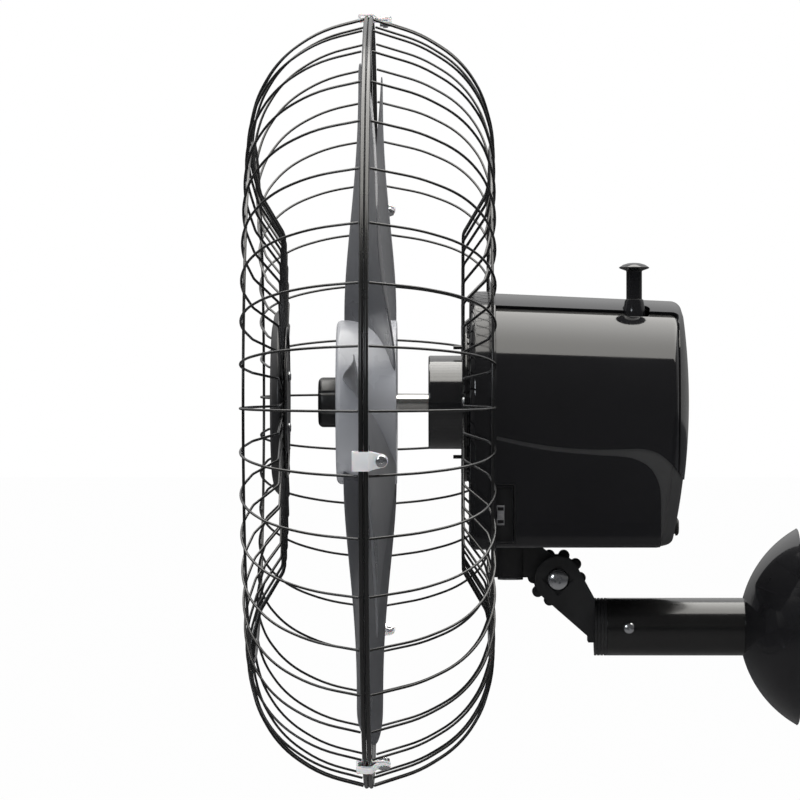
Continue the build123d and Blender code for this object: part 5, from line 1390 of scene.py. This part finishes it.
def make_clips():
    """Straps folded over both rim rings and pinched together behind them by a screw."""
    chosen = settings("guard")
    front, back = RIM_Y - 8.3 * MM, RIM_Y + 17.7 * MM
    step_start, step_end = RIM_Y + 3.8 * MM, RIM_Y + 7.4 * MM
    wide, thick, end_r = 14 * MM, 1.6 * MM, 4.9 * MM
    inside = sqrt((chosen.radius - 2 * chosen.rim_wire) ** 2 - (wide / 2) ** 2)
    inner, outer = inside - 0.05 * MM - thick, chosen.radius + 0.05 * MM
    pad = inner + thick + 0.5 * MM
    outline = rounded([
        (outer + thick, step_start, 1.5 * MM), (outer + thick, front, 1.5 * MM), (inner, front, 1.5 * MM),
        (inner, back, 0.3 * MM), (inner + thick, back, 0.3 * MM), (inner + thick, front + thick, 0.5 * MM),
        (outer, front + thick, 0.5 * MM), (outer, step_start, 1.5 * MM), (pad, step_end, 1.5 * MM),
        (pad, back, 0.3 * MM), (pad + thick, back, 0.3 * MM), (pad + thick, step_end, 1.5 * MM)],
        closed=True, steps=5)
    strap = slab_of(outline, (FAN_Z - wide / 2, FAN_Z + wide / 2), "XY")
    screw_y = RIM_Y + 12.8 * MM
    bore = rod(2.1 * MM, inner - 2 * MM, outer + 4 * MM, (0, screw_y, FAN_Z), "X")
    half = wide / 2
    arc = [(screw_y + end_r * sin(pi * i / 20), FAN_Z + end_r * cos(pi * i / 20)) for i in range(21)]
    plan = [(step_start, FAN_Z - half), (front - 1 * MM, FAN_Z - half), (front - 1 * MM, FAN_Z + half),
            (step_start, FAN_Z + half)] + arc
    keep = slab_of(plan, (inner - 1 * MM, outer + thick + 1 * MM), "YZ")

    def finish_strap(thing):
        carve(thing, keep, mode="INTERSECT")
        carve(thing, bore)
        ease_edges(thing, 0.35 * MM, 40, 2)

    turns = [radians(angle) for angle in CLIP_DEGREES]
    clips = around("guard_clips_skin", strap, turns, "pale clip plastic", finish_strap)
    dress(clips, "head", "pale clip plastic", ["guard_clips"], 38)

    seats, ways = [], []
    for turn in turns:
        matrix = about_fan(turn)
        seats.append(matrix @ Vector((pad + thick, screw_y, FAN_Z)))
        ways.append(matrix.to_3x3() @ Vector((1, 0, 0)))
    sample = cross_screw(4.5 * MM, 2.2 * MM, 2.7 * MM, dome=0.75, slot=0.22)
    depth = pad + thick - inner + 4 * MM
    shank = rod(2 * MM, -depth, 0.2 * MM, axis="Z", steps=20)
    carve(sample, shank, mode="UNION")
    fasten("clip_screws_skin", sample, seats, ways, [0.4, 1.0, 0.2, 0.7, 1.3], "head", "bright zinc",
           ["clip_screws"])
    sample = raw("nut", slab_of(circle(4.45 * MM, steps=6), (0, 3 * MM), "XY"))
    carve(sample, rod(2.08 * MM, -1 * MM, 5 * MM, axis="Z", steps=20))
    ease_edges(sample, 0.3 * MM, 40, 2)
    nut_seats = [about_fan(turn) @ Vector((inner, screw_y, FAN_Z)) for turn in turns]
    fasten("clip_nuts_skin", sample, nut_seats, [-way for way in ways], [0.1, 0.5, 0.9, 1.3, 0.3], "head",
           "bright zinc", ["clip_nuts"])


def make_guard_screws():
    plate_front = span("guard_plate", "Y")[1] - 2 * MM
    sample = cross_screw(4 * MM, 2.4 * MM, 2.3 * MM)
    seats = [about_fan(turn * pi / 2) @ Vector((PLATE_SCREWS_OUT, plate_front, FAN_Z)) for turn in range(4)]
    badge_seat = span("badge_back", "Y")[1]
    seats += [about_fan(turn) @ Vector((BADGE_SCREWS_OUT, badge_seat, FAN_Z)) for turn in (pi / 2, -pi / 2)]
    ways = [(0, -1, 0)] * 4 + [(0, 1, 0)] * 2
    fasten("guard_screws_skin", sample, seats, ways, [0.2, 0.9, 0.5, 1.2, 0.3, 0.8], "head", "dull zinc",
           ["guard_screws"])


# ---- Stage ----

def blended(tree, share, first, second):
    """Two shaders mixed by a share, as a socket."""
    return add(tree, "ShaderNodeMixShader", {0: share, 1: first, 2: second}).outputs[0]


def plain(name, colour_value, shine):
    made = bpy.data.materials.new(name)
    made.use_nodes = True
    shader = made.node_tree.nodes["Principled BSDF"]
    shader.inputs["Base Color"].default_value = (*colour_value, 1)
    shader.inputs["Roughness"].default_value = shine
    return made


def make_floor():
    """A pale floor that looks white to the camera but keeps the shadow."""
    chosen = settings("stage")
    floor_z = CAD_BOX[0][2] - chosen.floor_drop
    size, white_share = 40.0, 0.97
    thing = raw("floor", ([(-size, -size, floor_z), (size, -size, floor_z), (size, size, floor_z),
                           (-size, size, floor_z)], [(0, 1, 2, 3)]))
    made = plain("pale floor", (0.86, 0.86, 0.86), 0.8)
    tree = made.node_tree
    shader, out = tree.nodes["Principled BSDF"], tree.nodes["Material Output"]
    white = add(tree, "ShaderNodeEmission", {"Color": (1, 1, 1, 1), "Strength": 1.01})
    ray = add(tree, "ShaderNodeLightPath")
    seen = maths(tree, "MAXIMUM", ray.outputs["Is Camera Ray"], ray.outputs["Is Transmission Ray"])
    dim = add(tree, "ShaderNodeBsdfDiffuse", {"Color": (0.14, 0.14, 0.145, 1)})
    mirrored = blended(tree, ray.outputs["Is Glossy Ray"], shader.outputs[0], dim.outputs[0])
    mixed = blended(tree, maths(tree, "MULTIPLY", seen, white_share), mirrored, white.outputs[0])
    tree.links.new(mixed, out.inputs["Surface"])
    thing.data.materials.append(made)


def make_world():
    """Plain studio surroundings: white to the camera, and dim on the camera's own side in reflections."""
    world = bpy.data.worlds.new("studio")
    bpy.context.scene.world = world
    world.use_nodes = True
    tree = world.node_tree
    out = tree.nodes["World Output"]
    soft = tree.nodes["Background"]
    soft.inputs["Color"].default_value, soft.inputs["Strength"].default_value = (0.95, 0.97, 1.0, 1), 0.32
    white = add(tree, "ShaderNodeBackground", {"Color": (1, 1, 1, 1), "Strength": 1.0})
    way = add(tree, "ShaderNodeSeparateXYZ", {"Vector": add(tree, "ShaderNodeTexCoord").outputs["Generated"]})
    fade = add(tree, "ShaderNodeMapRange", {"Value": way.outputs["X"], "From Min": -0.15, "From Max": 0.45,
                                            "To Min": 1.0, "To Max": 0.05}, interpolation_type="SMOOTHSTEP")
    rise = add(tree, "ShaderNodeMapRange", {"Value": way.outputs["Z"], "From Min": 0.04, "From Max": 0.85,
                                            "To Min": 0.19, "To Max": 1.45})
    product = maths(tree, "MULTIPLY", fade.outputs["Result"], rise.outputs["Result"])
    level = maths(tree, "MAXIMUM", product, 0.08)
    mirror = add(tree, "ShaderNodeBackground", {"Color": (1, 1, 1, 1), "Strength": level})
    ray = add(tree, "ShaderNodeLightPath")
    glossy = blended(tree, ray.outputs["Is Glossy Ray"], soft.outputs[0], mirror.outputs[0])
    seen = maths(tree, "MAXIMUM", ray.outputs["Is Camera Ray"], ray.outputs["Is Transmission Ray"])
    tree.links.new(blended(tree, seen, glossy, white.outputs[0]), out.inputs["Surface"])


def area_light(name, place, aim, size, power, tint=(1, 1, 1)):
    light = bpy.data.lights.new(name, "AREA")
    light.shape, light.size, light.size_y = "RECTANGLE", *size
    light.energy, light.color = power, tint
    thing = placed(name, light)
    thing.location = place
    thing.rotation_euler = (Vector(aim) - Vector(place)).to_track_quat("-Z", "Y").to_euler()
    thing.visible_camera = False


def make_lights():
    area_light("overhead softbox", (0.15, -0.25, 1.55), (0.15, -0.25, 0), (1.8, 2.6), 66, (1, 0.98, 0.93))
    area_light("camera side fill", (2.6, -1.6, 0.9), (0, -0.25, 0.15), (0.7, 0.7), 12, (0.9, 0.95, 1.0))


def make_camera():
    chosen = settings("stage")
    aim = Vector((0, -310.2 * MM, 177 * MM))
    back = Vector((sin(chosen.azimuth), -cos(chosen.azimuth), 0))
    lens = bpy.data.cameras.new("camera")
    lens.sensor_width, lens.lens = 36, chosen.lens
    lens.clip_start, lens.clip_end = 0.1, 50
    thing = placed("camera", lens)
    thing.location = aim + back * chosen.distance
    thing.rotation_euler = (-back).to_track_quat("-Z", "Y").to_euler()
    bpy.context.scene.camera = thing
    bpy.context.scene.view_settings.view_transform = "Standard"


# ---- Operators and panel ----

def operator(key, label, text, *steps):
    """An operator that runs some of the steps above."""

    def execute(self, context):
        for step in steps:
            step()
        return {"FINISHED"}

    return type("WALLFAN_OT_" + key, (bpy.types.Operator,), {
        "__doc__": text, "bl_idname": "wallfan." + key, "bl_label": label,
        "bl_options": {"REGISTER", "UNDO"}, "execute": execute})


OPERATORS = [
    operator("solids", "Finish solids", "Give the solids that stay their finishes", finish_solids),
    operator("canopy", "Wall canopy", "Build the dome on the wall", make_canopy),
    operator("arm", "Arm", "Build the arm tube and the wall plate", make_arm),
    operator("bracket", "Tilt bracket", "Build the casting at the arm's end", make_bracket),
    operator("tilt_fasteners", "Tilt fasteners", "Build the tilt bolt and the arm screws", make_tilt_fasteners),
    operator("lock_knob", "Lock knob", "Build the lobed knob on the tilt bolt", make_lock_knob),
    operator("neck", "Neck", "Build the neck and the link", make_neck),
    operator("housing", "Head housing", "Build the sides, spine cover and grey sweep", make_housing),
    operator("front_cover", "Front cover", "Build the cover in front of the motor and its nose",
             make_front_cover, make_nose),
    operator("pull_knob", "Pull knob", "Build the pull knob and its collar", make_pull_knob),
    operator("switch", "Switch", "Build the slide switch in its recess", make_switch),
    operator("head_trim", "Head trim", "Build the plate under the head and the cable gland", make_head_trim),
    operator("fan", "Fan", "Build the hub and the blades", make_fan),
    operator("fixing_knob", "Fixing knob", "Build the knob in front of the hub and the shaft",
             make_fixing_knob),
    operator("guard", "Guard", "Build the wires and rings of both halves", make_guard),
    operator("badge", "Centre cap", "Build the plain cap and the plates of the guard", make_badge),
    operator("clips", "Guard clips", "Build the clips with their screws and nuts", make_clips),
    operator("guard_screws", "Guard screws", "Build the screws of the guard", make_guard_screws),
    operator("stage", "Stage", "Build the floor, surroundings, lights and camera",
             make_floor, make_world, make_lights, make_camera),
]


class WALLFAN_PT_pieces(bpy.types.Panel):
    """Lists the steps that build the fan."""
    bl_label = "Wall fan"
    bl_idname = "WALLFAN_PT_pieces"
    bl_space_type = "VIEW_3D"
    bl_region_type = "UI"
    bl_category = "Wall fan"

    def draw(self, context):
        for made in OPERATORS:
            self.layout.operator(made.bl_idname)
        for key in GROUPS:
            box = self.layout.box()
            group = settings(key)
            for name in group.__annotations__:
                box.prop(group, name)


GROUPS = {"finishes": FinishSettings, "wall_end": WallEndSettings, "head": HeadSettings, "fan": FanSettings,
          "guard": GuardSettings, "stage": StageSettings}


def register():
    for made in [*GROUPS.values(), *OPERATORS, WALLFAN_PT_pieces]:
        bpy.utils.register_class(made)
    for key, group in GROUPS.items():
        setattr(bpy.types.Scene, "wall_fan_" + key, PointerProperty(type=group))


def unregister():
    for key in GROUPS:
        delattr(bpy.types.Scene, "wall_fan_" + key)
    for made in reversed([*GROUPS.values(), *OPERATORS, WALLFAN_PT_pieces]):
        bpy.utils.unregister_class(made)


def main():
    register()
    for made in OPERATORS:
        getattr(bpy.ops.wallfan, made.bl_idname.split(".")[1])()


if __name__ == "__main__":
    main()
